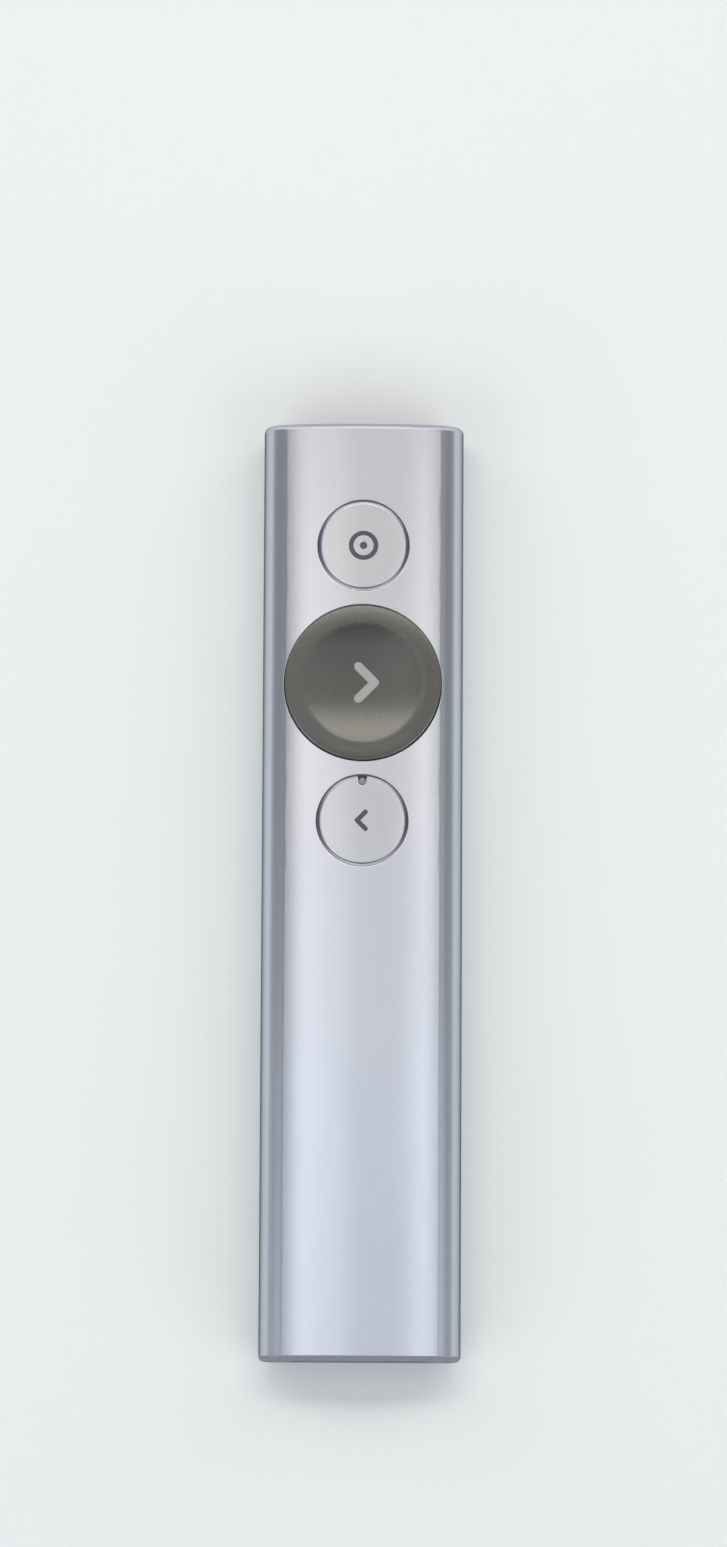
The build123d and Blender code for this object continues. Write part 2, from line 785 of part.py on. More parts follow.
with BuildPart() as charge_chip:
    chip(0, (socket_back_y + battery_tail_y) / 2, board_top, charger_size)
finish(charge_chip, "charge_chip")

with BuildPart() as capacitors:
    capacitor_points = [
        (x, chip_row_y + side * capacitor_row, board_top)
        for x in capacitor_columns
        for side in (-1, 1)
    ]
    with Locations(*capacitor_points):
        Box(*capacitor_size, align=centre_low)
finish(capacitors, "capacitors")

# ---------------------------------------------------------------- cell and its leads

with BuildPart() as battery_cell:
    rounded_bar(
        cross_plane(battery_front_y, battery_bottom + battery_height / 2),
        battery_width,
        battery_height,
        battery_corner,
        battery_front_y - battery_tail_y,
    )
    fillet(faces().sort_by(Axis.Y)[0].edges(), battery_edge_round)
finish(battery_cell, "battery_cell")

with BuildPart() as battery_pad:
    with Locations((0, (battery_front_y + battery_tail_y) / 2, board_top)):
        Box(
            battery_width - 2 * battery_pad_margin,
            battery_front_y - battery_tail_y - 2 * battery_pad_margin,
            battery_pad_thickness,
            align=centre_low,
        )
finish(battery_pad, "battery_pad")

with BuildPart() as battery_guard:
    with Locations((0, battery_front_y, header_z)):
        Box(*guard_size, align=(Align.CENTER, Align.MIN, Align.CENTER))
finish(battery_guard, "battery_guard")

with BuildPart() as battery_header:
    with Locations((header_x, header_back_y, board_top)):
        Box(*header_size, align=(Align.CENTER, Align.MIN, Align.MIN))
    with Locations((header_x, header_back_y, header_z)):
        Box(
            header_size[0] - 2 * header_wall,
            header_size[1] - header_back_wall,
            header_size[2] - 2 * header_wall,
            align=(Align.CENTER, Align.MIN, Align.CENTER),
            mode=Mode.SUBTRACT,
        )
finish(battery_header, "battery_header")

with BuildPart() as battery_plug:
    with Locations((header_x, header_plug_y, header_z)):
        Box(
            header_size[0] - 2 * header_wall,
            header_size[1] - header_back_wall + header_plug_out,
            header_size[2] - 2 * header_wall,
            align=(Align.CENTER, Align.MIN, Align.CENTER),
        )
finish(battery_plug, "battery_plug")

for lead_name, lead_side in (("battery_lead_red", -1), ("battery_lead_black", 1)):
    with BuildPart() as battery_lead:
        with BuildSketch(cross_plane(header_plug_y, header_z)) as lead_section:
            with Locations((header_x + lead_side * lead_spread, 0)):
                Circle(lead_radius)
        extrude(lead_section.sketch, amount=header_plug_y - guard_front_y)
    finish(battery_lead, lead_name)

# ---------------------------------------------------------------- vibration motor

motor_point = [(motor_x, motor_y)]

with BuildPart() as motor_pad:
    rods(motor_point, motor_radius - motor_sheet, board_top, motor_bottom)
finish(motor_pad, "motor_pad")

with BuildPart() as motor_base:
    rods(motor_point, motor_radius, motor_bottom, motor_floor)
    rods(motor_point, motor_shaft_radius, motor_floor, motor_top - motor_sheet)
finish(motor_base, "motor_base")

with BuildPart() as motor_can:
    rods(motor_point, motor_radius, motor_floor, motor_top)
    rods(
        motor_point,
        motor_radius - motor_sheet,
        motor_floor,
        motor_top - motor_sheet,
        Mode.SUBTRACT,
    )
finish(motor_can, "motor_can")

with BuildPart() as motor_magnet:
    rods(motor_point, magnet_radius, motor_floor, motor_floor + magnet_height)
    rods(motor_point, magnet_hole_radius, motor_floor, motor_floor + magnet_height, Mode.SUBTRACT)
finish(motor_magnet, "motor_magnet")

# A half disc that shakes the bar as it turns
with BuildPart() as motor_rotor:
    rotor_floor = motor_floor + magnet_height + rotor_lift
    with BuildSketch(Plane.XY.offset(rotor_floor)) as rotor_outline:
        with Locations(*motor_point):
            Circle(rotor_radius)
            Rectangle(
                2 * rotor_radius, rotor_radius, align=(Align.CENTER, Align.MIN), mode=Mode.SUBTRACT
            )
            Circle(rotor_hub_radius)
            Circle(motor_shaft_radius + rotor_gap, mode=Mode.SUBTRACT)
    extrude(rotor_outline.sketch, amount=rotor_height)
finish(motor_rotor, "motor_rotor")

motor_lead_z = board_top + motor_lead_lift + motor_lead_radius
motor_lead_plane = Plane(origin=(motor_x, motor_y, motor_lead_z), x_dir=(0, 1, 0), z_dir=(-1, 0, 0))
for lead_name, lead_offset in zip(("motor_lead_red", "motor_lead_blue"), motor_lead_offsets):
    with BuildPart() as motor_lead:
        with BuildSketch(motor_lead_plane) as lead_section:
            with Locations((lead_offset, 0)):
                Circle(motor_lead_radius)
        extrude(lead_section.sketch, amount=motor_radius + motor_lead_length)
        rods(motor_point, motor_radius, 0, shell_height, Mode.SUBTRACT)
    finish(motor_lead, lead_name)

# ---------------------------------------------------------------- charging socket

with BuildPart() as socket_shell:
    rounded_bar(
        cross_plane(socket_back_y, end_line_z),
        socket_width,
        socket_height,
        socket_corner,
        socket_length,
    )
    rounded_bar(
        cross_plane(socket_back_y - socket_sheet, end_line_z),
        socket_width - 2 * socket_sheet,
        socket_height - 2 * socket_sheet,
        socket_corner - socket_sheet,
        socket_length,
        Mode.SUBTRACT,
    )
finish(socket_shell, "socket_shell")

blade_back_y = socket_back_y - socket_sheet - socket_base
with BuildPart() as socket_blade:
    rounded_bar(
        cross_plane(socket_back_y - socket_sheet, end_line_z),
        socket_width - 2 * socket_sheet,
        socket_height - 2 * socket_sheet,
        socket_corner - socket_sheet,
        socket_base,
    )
    with Locations((0, blade_back_y, end_line_z)):
        Box(
            blade_width,
            blade_length,
            blade_height,
            align=(Align.CENTER, Align.MAX, Align.CENTER),
        )
finish(socket_blade, "socket_blade")

with BuildPart() as socket_contacts:
    pad_rows = [
        ((i - (pad_count - 1) / 2) * pad_pitch, blade_back_y, end_line_z + side * blade_height / 2)
        for i in range(pad_count)
        for side in (-1, 1)
    ]
    for x, y, z in pad_rows:
        outward = Align.MIN if z > end_line_z else Align.MAX
        with Locations((x, y, z)):
            Box(pad_width, pad_length, pad_thickness, align=(Align.CENTER, Align.MAX, outward))
finish(socket_contacts, "socket_contacts")

# ---------------------------------------------------------------- receiver

# The head fills the tail's recess, and a fingernail in its slot pulls the receiver out
with BuildPart() as receiver_head:
    bar_slice(head_front_y, head_thickness, recess_inset + head_gap)
    fillet(faces().sort_by(Axis.Y)[0].edges(), head_edge_round)
    with BuildSketch(cross_plane(tail_face_y + nail_slot_depth, end_line_z)) as nail_slot:
        SlotOverall(nail_slot_length, nail_slot_height)
    extrude(nail_slot.sketch, amount=nail_slot_depth, mode=Mode.SUBTRACT)
    rounded_bar(
        cross_plane(head_front_y, end_line_z),
        plug_width,
        plug_height,
        plug_corner,
        plug_embed,
        Mode.SUBTRACT,
    )
finish(receiver_head, "receiver_head")

plug_inner_width = plug_width - 2 * plug_sheet
with BuildPart() as plug_shell:
    rounded_bar(
        cross_plane(plug_tip_y, end_line_z),
        plug_width,
        plug_height,
        plug_corner,
        plug_length + plug_embed,
    )
    rounded_bar(
        cross_plane(plug_tip_y, end_line_z),
        plug_inner_width,
        plug_height - 2 * plug_sheet,
        plug_corner - plug_sheet,
        plug_length + plug_embed,
        Mode.SUBTRACT,
    )
    window_y = plug_tip_y - latch_window_back
    with Locations((-latch_window_x, window_y, end_line_z), (latch_window_x, window_y, end_line_z)):
        Box(latch_window_width, latch_window_length, 2 * plug_height, mode=Mode.SUBTRACT)
finish(plug_shell, "plug_shell")

with BuildPart() as plug_carrier:
    rounded_bar(
        cross_plane(plug_tip_y - plug_mouth, end_line_z),
        plug_inner_width,
        plug_height - 2 * plug_sheet,
        plug_corner - plug_sheet,
        plug_length + plug_embed - plug_mouth,
    )
    keep_heights(0, carrier_top)
finish(plug_carrier, "plug_carrier")

with BuildPart() as receiver_board:
    with Locations((0, plug_tip_y - plug_mouth, carrier_top)):
        Box(
            plug_inner_width,
            plug_length + plug_embed - plug_mouth,
            receiver_board_thickness,
            align=(Align.CENTER, Align.MAX, Align.MIN),
        )
finish(receiver_board, "receiver_board")

with BuildPart() as plug_contacts:
    for contact_x, contact_length in (
        (-outer_contact_x, outer_contact_length),
        (-inner_contact_x, inner_contact_length),
        (inner_contact_x, inner_contact_length),
        (outer_contact_x, outer_contact_length),
    ):
        with Locations((contact_x, plug_tip_y - contact_setback, receiver_board_top)):
            Box(
                contact_width,
                contact_length,
                contact_thickness,
                align=(Align.CENTER, Align.MAX, Align.MIN),
            )
finish(plug_contacts, "plug_contacts")

with BuildPart() as receiver_chip:
    chip(0, plug_tip_y - receiver_chip_back, receiver_board_top, receiver_chip_size)
finish(receiver_chip, "receiver_chip")
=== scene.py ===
# %% [markdown]
# # A wireless presentation clicker
#
# The object is a slim tube of drawn aluminium with three round buttons let into its crown and a
# USB receiver stored in its tail. The construction model already holds every piece at its real
# size, so this lesson keeps its places and gives the pieces that are seen a finer surface and
# a finish. Shapes are worked out in millimetres, and turned into metres when they become meshes.

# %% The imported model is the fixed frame
import json
import math

import bmesh
import bpy
import numpy as np
from mathutils import Matrix, Vector


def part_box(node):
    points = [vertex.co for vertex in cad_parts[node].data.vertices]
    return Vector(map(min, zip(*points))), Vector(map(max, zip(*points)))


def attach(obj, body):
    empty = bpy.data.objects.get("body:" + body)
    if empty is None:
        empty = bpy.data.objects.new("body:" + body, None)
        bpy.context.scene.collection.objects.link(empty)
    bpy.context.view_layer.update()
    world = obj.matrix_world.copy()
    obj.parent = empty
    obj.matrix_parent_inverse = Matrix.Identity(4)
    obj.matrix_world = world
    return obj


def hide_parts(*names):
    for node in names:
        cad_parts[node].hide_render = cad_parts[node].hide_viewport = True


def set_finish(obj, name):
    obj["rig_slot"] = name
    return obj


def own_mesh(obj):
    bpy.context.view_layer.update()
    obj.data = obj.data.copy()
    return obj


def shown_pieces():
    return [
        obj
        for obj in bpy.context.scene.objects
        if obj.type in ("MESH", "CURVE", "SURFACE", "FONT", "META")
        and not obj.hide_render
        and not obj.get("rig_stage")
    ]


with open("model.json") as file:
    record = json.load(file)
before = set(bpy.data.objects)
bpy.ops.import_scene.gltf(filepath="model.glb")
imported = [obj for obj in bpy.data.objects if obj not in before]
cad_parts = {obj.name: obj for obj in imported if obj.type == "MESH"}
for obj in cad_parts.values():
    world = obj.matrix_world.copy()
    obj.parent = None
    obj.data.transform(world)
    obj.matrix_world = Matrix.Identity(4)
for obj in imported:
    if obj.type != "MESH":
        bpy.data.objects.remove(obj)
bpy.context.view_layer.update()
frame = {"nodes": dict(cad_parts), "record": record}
scene = bpy.context.scene
MM = 0.001

# %% [markdown]
# ## Sizes
#
# The bar's length, width and height and the buttons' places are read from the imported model, so
# the surfaces follow it when it changes. The radii and walls that a box can't tell are named
# here, once.

# %% Sizes in millimetres
def box_mm(node):
    """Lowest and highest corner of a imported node, in millimetres."""
    low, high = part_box(node)
    return np.array(low) / MM, np.array(high) / MM


shell_low, shell_high = box_mm("outer_shell")
half_width, front_y, crown_top = (float(round(v, 2)) for v in shell_high)
crown_radius = 52.0
shoulder_radius = 4.2
belly_radius = 5.0
shell_wall = 1.2
rim_wall = 0.9
rim_depth = 3.3
rim_round = 0.7
rim_land = 0.06  # the small break on the rim's inner edge
hole_lip, lip_drop = 0.12, 0.05  # the broken edge of a hole: its reach and its drop
small_gap, next_gap = 0.45, 0.15
hair = 0.001  # lengths that differ by less count as equal
print(f"bar {2 * front_y} long, {2 * half_width} wide, crown at {crown_top}")


def button_place(node):
    """The middle along Y and the radius of a round cap, from its width and its tail edge."""
    low, high = box_mm(node)
    radius = round(float(high[0]), 2)
    return round(float(low[1]) + radius, 2), radius


pointer_y, small_radius = button_place("pointer_cap")
next_y, next_radius = button_place("next_cap")
back_y, _ = button_place("back_cap")
small_hole, next_hole = small_radius + small_gap, next_radius + next_gap
print(f"buttons at Y {pointer_y}, {next_y} and {back_y}")

# %% [markdown]
# ## Camera
#
# The bar is seen from almost straight above with a long lens, from a little behind its tail, so
# that the tail's end just shows and the far end just doesn't. The camera is set first because
# every later choice is checked through it. A narrow view from far away keeps the long sides
# nearly parallel.

# %% Camera
def new_object(name, data):
    """A new object at the origin, linked to the scene."""
    made = bpy.data.objects.new(name, data)
    scene.collection.objects.link(made)
    return made


camera_place = Vector((0.0, -93.4, 900.0)) * MM
camera_target = Vector((0.156, 16.71, 5.6)) * MM
camera_roll = math.radians(-0.297)

camera_data = bpy.data.cameras.new("studio_camera")
camera_data.lens = 149.3
camera_data.clip_start = 0.05
camera_data.clip_end = 20.0
camera = scene.camera = new_object("studio_camera", camera_data)

towards = (camera_target - camera_place).normalized()
up_hint = Vector((math.sin(camera_roll), math.cos(camera_roll), 0.0))
right = towards.cross(up_hint).normalized()
up = right.cross(towards)
axes = Matrix((right, up, -towards)).transposed().to_4x4()
camera.matrix_world = Matrix.Translation(camera_place) @ axes
print("camera looks along", [round(v, 3) for v in towards])

# %% [markdown]
# ## Studio
#
# Satin metal has hardly a colour of its own: it shows the room. Here a wide panel hangs over the
# bar with a brighter strip along each side, so the crown is calm in its middle and lighter on its
# flanks. Beyond the panel the room is dim, which draws a dark line down each shoulder, and the
# pale table brightens the sides again. Faint washes soften that line and lift it towards the
# tail. A strong softbox stands beyond the pointing end: it lights the table, and it catches the
# hole edges and the near side of the dish. Its lower part is dimmer, so that a shoulder seen from
# a low corner doesn't glare. Soft fills stand in the room's corners, out of every mirror line of
# the top view, and keep the low views even. The light is a little warm towards the pointing end
# and cool towards the tail, as between a lamp and a window.

# %% Softboxes
aim_z = 0.01  # the height that the lamps face, near the bar's crown


def softbox(name, place, size, radiance, tint=(0.97, 0.985, 1.0)):
    """A rectangle that faces the bar. Its power is its radiance times its area times pi."""
    data = bpy.data.lights.new(name, "AREA")
    data.shape = "RECTANGLE"
    data.size, data.size_y = size
    data.energy = radiance * size[0] * size[1] * math.pi
    data.color = tint
    away = (Vector(place) - Vector((0.0, 0.0, aim_z))).normalized()
    side = Vector((0.0, 1.0, 0.0)).cross(away).normalized()
    facing = Matrix((side, away.cross(side), away)).transposed().to_4x4()
    new_object(name, data).matrix_world = Matrix.Translation(place) @ facing


# %% The lamps
panel_z, panel_run, tail_run = 1.0, (-0.175, 0.275), (-0.36, 0.09)
warm, cool, change_y = (1.03, 0.965, 0.885), (0.925, 0.975, 1.04), 0.095
softbox_away, softbox_size, softbox_tint = 1.125, (1.1, 0.19), (1.0, 0.97, 0.93)


def ceiling_panel(name, left, right, radiance, run, tint):
    """A part of the overhead panel, between two angles off the vertical in degrees."""
    left, right = (math.tan(math.radians(angle)) * (panel_z - aim_z) for angle in (left, right))
    place = ((left + right) / 2, sum(run) / 2, panel_z)
    softbox(name, place, (right - left, run[1] - run[0]), radiance, tint)


for name, left, right, radiance in (
    ("panel_overhead", -23, 24.5, 0.90),
    ("panel_left_wash", -17, -5, 0.25),
    ("panel_left_strip", -23, -17, 0.72),
    ("panel_right_strip", 18, 24, 0.72),
    ("panel_right_soft", 25, 43, 0.12),
):
    ceiling_panel(name + "_warm", left, right, radiance, (change_y, panel_run[1]), warm)
    ceiling_panel(name + "_cool", left, right, radiance, (panel_run[0], change_y), cool)
ceiling_panel("tail_wash_left", -52, -25, 0.34, tail_run, cool)
ceiling_panel("tail_wash_right", 26, 52, 0.34, tail_run, cool)
for name, rise, radiance in (("softbox_front", 63.2, 4.6), ("softbox_front_skirt", 53.6, 1.4)):
    rise = math.radians(rise)
    place = (0.0, softbox_away * math.cos(rise), aim_z + softbox_away * math.sin(rise))
    softbox(name, place, softbox_size, radiance, softbox_tint)
for side, name, side_wash in ((-1, "left", 0.20), (1, "right", 0.14)):
    softbox(f"side_wash_{name}", (side * 1.11, sum(tail_run) / 2, 0.45), (0.5, 0.5), side_wash)
    softbox(f"fill_back_{name}", (side * 1.30, -1.05, 1.0), (1.6, 1.65), 1.36)
    softbox(f"fill_front_{name}", (side * 1.05, 0.85, 0.60), (0.8, 0.8), 1.2)
print(len(bpy.data.lights), "lamps")

# %% [markdown]
# ## Room
#
# What the lamps leave free is a dim room with a pale horizon. It could be a picture of a studio,
# but a ramp over the height of the view direction is enough: pale at the level of the table, dim
# above it, and dark straight overhead, where only the panel should show. Small helpers keep the
# node trees short: they set or link an input, make a node from named values, mix and multiply.

# %% Node helpers
def feed(tree, socket, value):
    """Set an input to a value, or link it to another node's socket."""
    if isinstance(value, bpy.types.NodeSocket):
        tree.links.new(value, socket)
    else:
        socket.default_value = value


def node(tree, kind, **values):
    """A node with its properties and inputs given by name."""
    made = tree.nodes.new(kind)
    for key, value in values.items():
        if hasattr(made, key):
            setattr(made, key, value)
        else:
            feed(tree, made.inputs[key.replace("_", " ")], value)
    return made


def mix(tree, share, first, second, kind="RGBA", **values):
    """The mix of two colours, or of two numbers where kind is FLOAT."""
    made = node(tree, "ShaderNodeMix", data_type=kind, **values)
    start, result = {"FLOAT": (2, 0), "RGBA": (6, 2)}[kind]
    feed(tree, made.inputs[0], share)
    feed(tree, made.inputs[start], first)
    feed(tree, made.inputs[start + 1], second)
    return made.outputs[result]


def multiply(tree, first, second, kind="ShaderNodeMath", **values):
    """The product of two numbers, or of two vectors with the vector kind of node."""
    made = node(tree, kind, operation="MULTIPLY", **values)
    feed(tree, made.inputs[0], first)
    feed(tree, made.inputs[1], second)
    return made.outputs[0]


# %% Room
scene.view_settings.view_transform = "Standard"
scene.world = bpy.data.worlds.new("studio_room")
scene.world.use_nodes = True
room = scene.world.node_tree
room.nodes.clear()
room_stops = [
    (0.00, (0.78, 0.80, 0.81)),
    (0.07, (0.62, 0.64, 0.66)),
    (0.22, (0.32, 0.335, 0.36)),
    (0.55, (0.235, 0.25, 0.27)),
    (0.84, (0.28, 0.295, 0.32)),
    (0.87, (0.03, 0.03, 0.035)),
]
direction = node(room, "ShaderNodeTexCoord").outputs["Generated"]
parts = node(room, "ShaderNodeSeparateXYZ", Vector=direction).outputs
ramp = node(room, "ShaderNodeValToRGB", Fac=parts["Z"])
while len(ramp.color_ramp.elements) < len(room_stops):
    ramp.color_ramp.elements.new(0.5)
for stop, (place, tint) in zip(ramp.color_ramp.elements, room_stops):
    stop.position = place
    stop.color = (*tint, 1.0)
lengthwise = node(room, "ShaderNodeMapRange", Value=parts["Y"], From_Min=-0.02, From_Max=0.2)
warmth = mix(room, lengthwise.outputs["Result"], (*cool, 1.0), (*warm, 1.0))
tinted = mix(room, 1.0, ramp.outputs["Color"], warmth, blend_type="MULTIPLY")
room_light = node(room, "ShaderNodeBackground", Color=tinted, Strength=1.0)
node(room, "ShaderNodeOutputWorld", Surface=room_light.outputs["Background"])
print(len(room_stops), "stops from the horizon to straight overhead")

# %% [markdown]
# ## Meshes from grids
#
# Every new surface here is a grid: rows along one parameter, columns along the other, and a
# point worked out for each pair as whole arrays. Grids that share a border are welded into one
# closed mesh. A grid that ends in a point simply repeats it, and the weld turns its last quads
# into triangles. Each vertex also carries an "edge" value, which the finishes read later: it is
# near 1 where the surface is cut or worn bright, or where light is painted on, 0 on the plain skin,
# and -1 where shade is painted on.

# %% Grid helpers
def grid_faces(rows, columns, wrap):
    """Quads between neighbouring rows and columns; wrap joins the last column to the first."""
    index = np.arange(rows * columns).reshape(rows, columns)
    beside = np.roll(index, -1, axis=1)
    if not wrap:
        index, beside = index[:, :-1], beside[:, :-1]
    return np.stack([index[:-1], beside[:-1], beside[1:], index[1:]], axis=-1).reshape(-1, 4)


def grid(x, y, z, edge=0.0, wrap=True):
    """A grid of points from three arrays that broadcast together, with its edge values."""
    x, y, z, edge = np.broadcast_arrays(x, y, z, edge)
    return np.stack([x, y, z], axis=-1), np.array(edge, float), wrap


# %% From grids to a piece
def weld(name, grids, sharp_degrees):
    """One mesh of several grids, welded where they meet, with its faces turned outwards."""
    points = np.concatenate([g[0].reshape(-1, 3) for g in grids]) * MM
    edges = np.concatenate([g[1].ravel() for g in grids])
    starts = np.cumsum([0] + [g[0].shape[0] * g[0].shape[1] for g in grids[:-1]])
    faces = np.concatenate(
        [grid_faces(*g[0].shape[:2], g[2]) + start for g, start in zip(grids, starts)]
    )
    mesh = bpy.data.meshes.new(name)
    mesh.from_pydata(points, [], faces.tolist())
    wear_and_painted_light = mesh.attributes.new("edge", "FLOAT", "POINT")
    wear_and_painted_light.data.foreach_set("value", edges.astype(np.float32))
    work = bmesh.new()
    work.from_mesh(mesh)
    bmesh.ops.remove_doubles(work, verts=work.verts, dist=2e-7)
    bmesh.ops.recalc_face_normals(work, faces=work.faces)
    open_edges = sum(len(e.link_faces) != 2 for e in work.edges)
    work.to_mesh(mesh)
    work.free()
    mesh.shade_smooth()
    mesh.set_sharp_from_angle(angle=math.radians(sharp_degrees))
    print(f"{name}: {len(mesh.vertices)} points, {len(mesh.polygons)} faces, {open_edges} open edges")
    return mesh


def piece(name, grids, body, slot, *nodes, sharp_degrees=38.0):
    """Grids as a named piece that rides on a body, takes a finish and stands for CAD nodes."""
    made = new_object(name, weld(name, grids, sharp_degrees))
    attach(made, body)
    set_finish(made, slot)
    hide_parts(*nodes)
    return made


# %% [markdown]
# ## The bar's outline
#
# The tube's section is one flat line, two belly arcs, two short sides, two shoulder arcs and a
# long shallow crown, all tangent. Pulling such an outline in by a wall only shortens the radii,
# so every point keeps its normal. One list of points and normals therefore gives the outside,
# the rims and the bore.

# %% Outline of the section
shoulder_x = half_width - shoulder_radius
belly_x = half_width - belly_radius
crown_centre_z = crown_top - crown_radius
lean = math.asin(shoulder_x / (crown_radius - shoulder_radius))
shoulder_z = crown_centre_z + (crown_radius - shoulder_radius) * math.cos(lean)
window_x = 12.4  # half the width of the strip of crown that the button holes are set in
window_angle = math.acos((window_x - shoulder_x) / shoulder_radius)


def arc(centre_x, centre_z, radius, start, stop, count):
    """Points and outward normals of an arc: the centre plus radius times (cos, sin)."""
    angle = np.linspace(start, stop, count)
    normal = np.stack([np.cos(angle), np.sin(angle)], axis=-1)
    return np.array([centre_x, centre_z]) + radius * normal, normal


def straight(start, stop, normal, count):
    """Points and normals of a straight run."""
    share = np.linspace(0.0, 1.0, count)[:, None]
    points = np.array(start) * (1 - share) + np.array(stop) * share
    return points, np.broadcast_to(np.array(normal, float), points.shape)


def bar_outline():
    """The closed outline as points and normals, from the belly's middle round by +X."""
    quarter = math.pi / 2
    runs = [
        straight((0.0, 0.0), (belly_x, 0.0), (0, -1), 8),
        arc(belly_x, belly_radius, belly_radius, -quarter, 0.0, 22),
        straight((half_width, belly_radius), (half_width, shoulder_z), (1, 0), 4),
        arc(shoulder_x, shoulder_z, shoulder_radius, 0.0, window_angle, 16),
        arc(shoulder_x, shoulder_z, shoulder_radius, window_angle, quarter - lean, 9),
        arc(0.0, crown_centre_z, crown_radius, quarter - lean, quarter, 22),
    ]
    points = np.concatenate([runs[0][0]] + [run[0][1:] for run in runs[1:]])
    normals = np.concatenate([runs[0][1]] + [run[1][1:] for run in runs[1:]])
    mirror = np.array([-1.0, 1.0])
    return (
        np.concatenate([points, points[-2:0:-1] * mirror]),
        np.concatenate([normals, normals[-2:0:-1] * mirror]),
    )


outline, outline_normal = bar_outline()
print(f"section of {len(outline)} points, shoulder arcs at X {shoulder_x}, Z {shoulder_z:.2f}")

# %% Height and normals of the skin
def crown_height(x, inset=0.0):
    """Height of the upper surface at x, pulled in by inset: the crown's arc, then a shoulder's."""
    reach = np.abs(x)
    crown = crown_centre_z + np.sqrt(np.square(crown_radius - inset) - np.square(reach))
    drop = np.square(shoulder_radius - inset) - np.square(reach - shoulder_x)
    shoulder = shoulder_z + np.sqrt(np.maximum(drop, 0.0))
    return np.where(reach < (crown_radius - inset) * math.sin(lean), crown, shoulder)


def skin_normals(x, z):
    """How deep a point lies under the outline, and the outline's normal there."""
    side, reach = np.sign(x), np.abs(x)
    turns = [
        ((z - crown_centre_z) * math.tan(lean) > reach, 0.0, crown_centre_z, crown_radius),
        (z > shoulder_z, shoulder_x, shoulder_z, shoulder_radius),
        (z > belly_radius, half_width - 1.0, None, 1.0),  # the flat side: 1 away from a plane
        (reach > belly_x, belly_x, belly_radius, belly_radius),
    ]
    deep, across, upwards = z.copy(), 0.0 * z, 0.0 * z - 1.0
    for inside, centre_x, centre_z, radius in reversed(turns):
        rise = 0.0 * z if centre_z is None else z - centre_z
        away = np.hypot(reach - centre_x, rise)
        deep = np.where(inside, radius - away, deep)
        across = np.where(inside, side * (reach - centre_x) / np.maximum(away, 1e-9), across)
        upwards = np.where(inside, rise / np.maximum(away, 1e-9), upwards)
    return deep, np.stack([across, 0.0 * z, upwards], axis=-1)



# %% [markdown]
# ## The drawn tube
#
# The real shell is one length of aluminium tube: drawn, cut, three holes punched in its crown,
# edges broken, bead-blasted and anodised. It could be modelled solid and cut with booleans, but
# the cuts would spoil the smooth crown that the reflections run along. Instead the sheet is laid
# out as grids. Two sleeves carry the outline along Y, over each rim and back down the bore. Round
# each hole a grid runs from a rectangular window in to the hole, over its lip, down its wall and
# back out along the bore, so the hole's edge is a true circle on a true crown.

# %% Sleeves along the tube
def pulled_in(inset, columns=slice(None)):
    """X and Z of the outline's points, moved in by inset along their normals."""
    return tuple(outline[columns, k] - inset * outline_normal[columns, k] for k in (0, 1))


def rounding(radius, count):
    """A rounded edge's steps (side, drop): radius times 1 - sin and 1 - cos, from 0 to 90 degrees."""
    turn = np.linspace(0.0, math.pi / 2, count)
    return radius * np.stack([1 - np.sin(turn), 1 - np.cos(turn)])


def sleeve(insets, ys, edge):
    """The outline pulled in by inset at each y: rows are (inset, y) pairs."""
    inset, y, edge = (np.asarray(values, float)[:, None] for values in (insets, ys, edge))
    x, z = pulled_in(inset)
    return grid(x, y, z, edge)


def rim_profile(window_y):
    """(inset, distance from the rim's end) from the bore, over the rim and out to the window."""
    side, drop = rounding(rim_round, 9)
    outer = [rim_round + 0.06, 1.2, 1.8, 2.6, 4.0, 6.5, window_y]
    inset = [shell_wall, shell_wall, rim_wall, rim_wall, rim_wall - rim_land, *side]
    depth = [window_y, rim_depth, rim_depth, rim_land, 0.0, *drop, *outer]
    return np.array(inset + [0.0] * len(outer)), np.array(depth)


def on_rim(inset, depth):
    """The edge value of the rim's round and its land: 1 there, 0 on the skin and in the bore."""
    return ((depth < rim_round + 0.01) & (inset < rim_wall)).astype(float)


front_rim_edge, tail_rim_painted_shade = 0.45, -1.0  # a little worn, and painted shade on the tail rim beside the receiver
window_border = 0.95  # between a small hole and its window's far end
window_edges = [
    pointer_y + small_hole + window_border,
    (pointer_y - small_hole + next_y + next_hole) / 2,
    (back_y + small_hole + next_y - next_hole) / 2,
    back_y - small_hole - window_border,
]
front_inset, front_depth = rim_profile(front_y - window_edges[0])
tail_inset, tail_depth = rim_profile(front_y + window_edges[-1])
tube = [
    sleeve(front_inset, front_y - front_depth, front_rim_edge * on_rim(front_inset, front_depth)),
    sleeve(tail_inset, tail_depth - front_y, tail_rim_painted_shade * on_rim(tail_inset, tail_depth)),
]

# %% [markdown]
# Between the sleeves, a belt of the outline's other columns closes the sides and the belly, once
# outside and once along the bore. Each window's border is walked once round, and every border
# point is drawn in to the hole in its own direction, so the rows turn from a rectangle into a
# circle.

# %% The belt beside the holes
in_window = (np.abs(outline[:, 0]) < window_x + hair) & (outline[:, 1] > shoulder_z)
window_columns = np.flatnonzero(in_window)
after, before = window_columns[-1], window_columns[0]
belt_columns = np.arange(after, before + len(outline) + 1) % len(outline)
window_ys = [
    np.linspace(low, high, count)
    for high, low, count in zip(window_edges[:-1], window_edges[1:], (26, 42, 26))
]
belt_y = np.concatenate([window_ys[2], window_ys[1][1:], window_ys[0][1:]])[:, None]
for inset in (0.0, shell_wall):
    belt_x, belt_z = pulled_in(inset, belt_columns)
    tube.append(grid(belt_x, belt_y, belt_z, wrap=False))


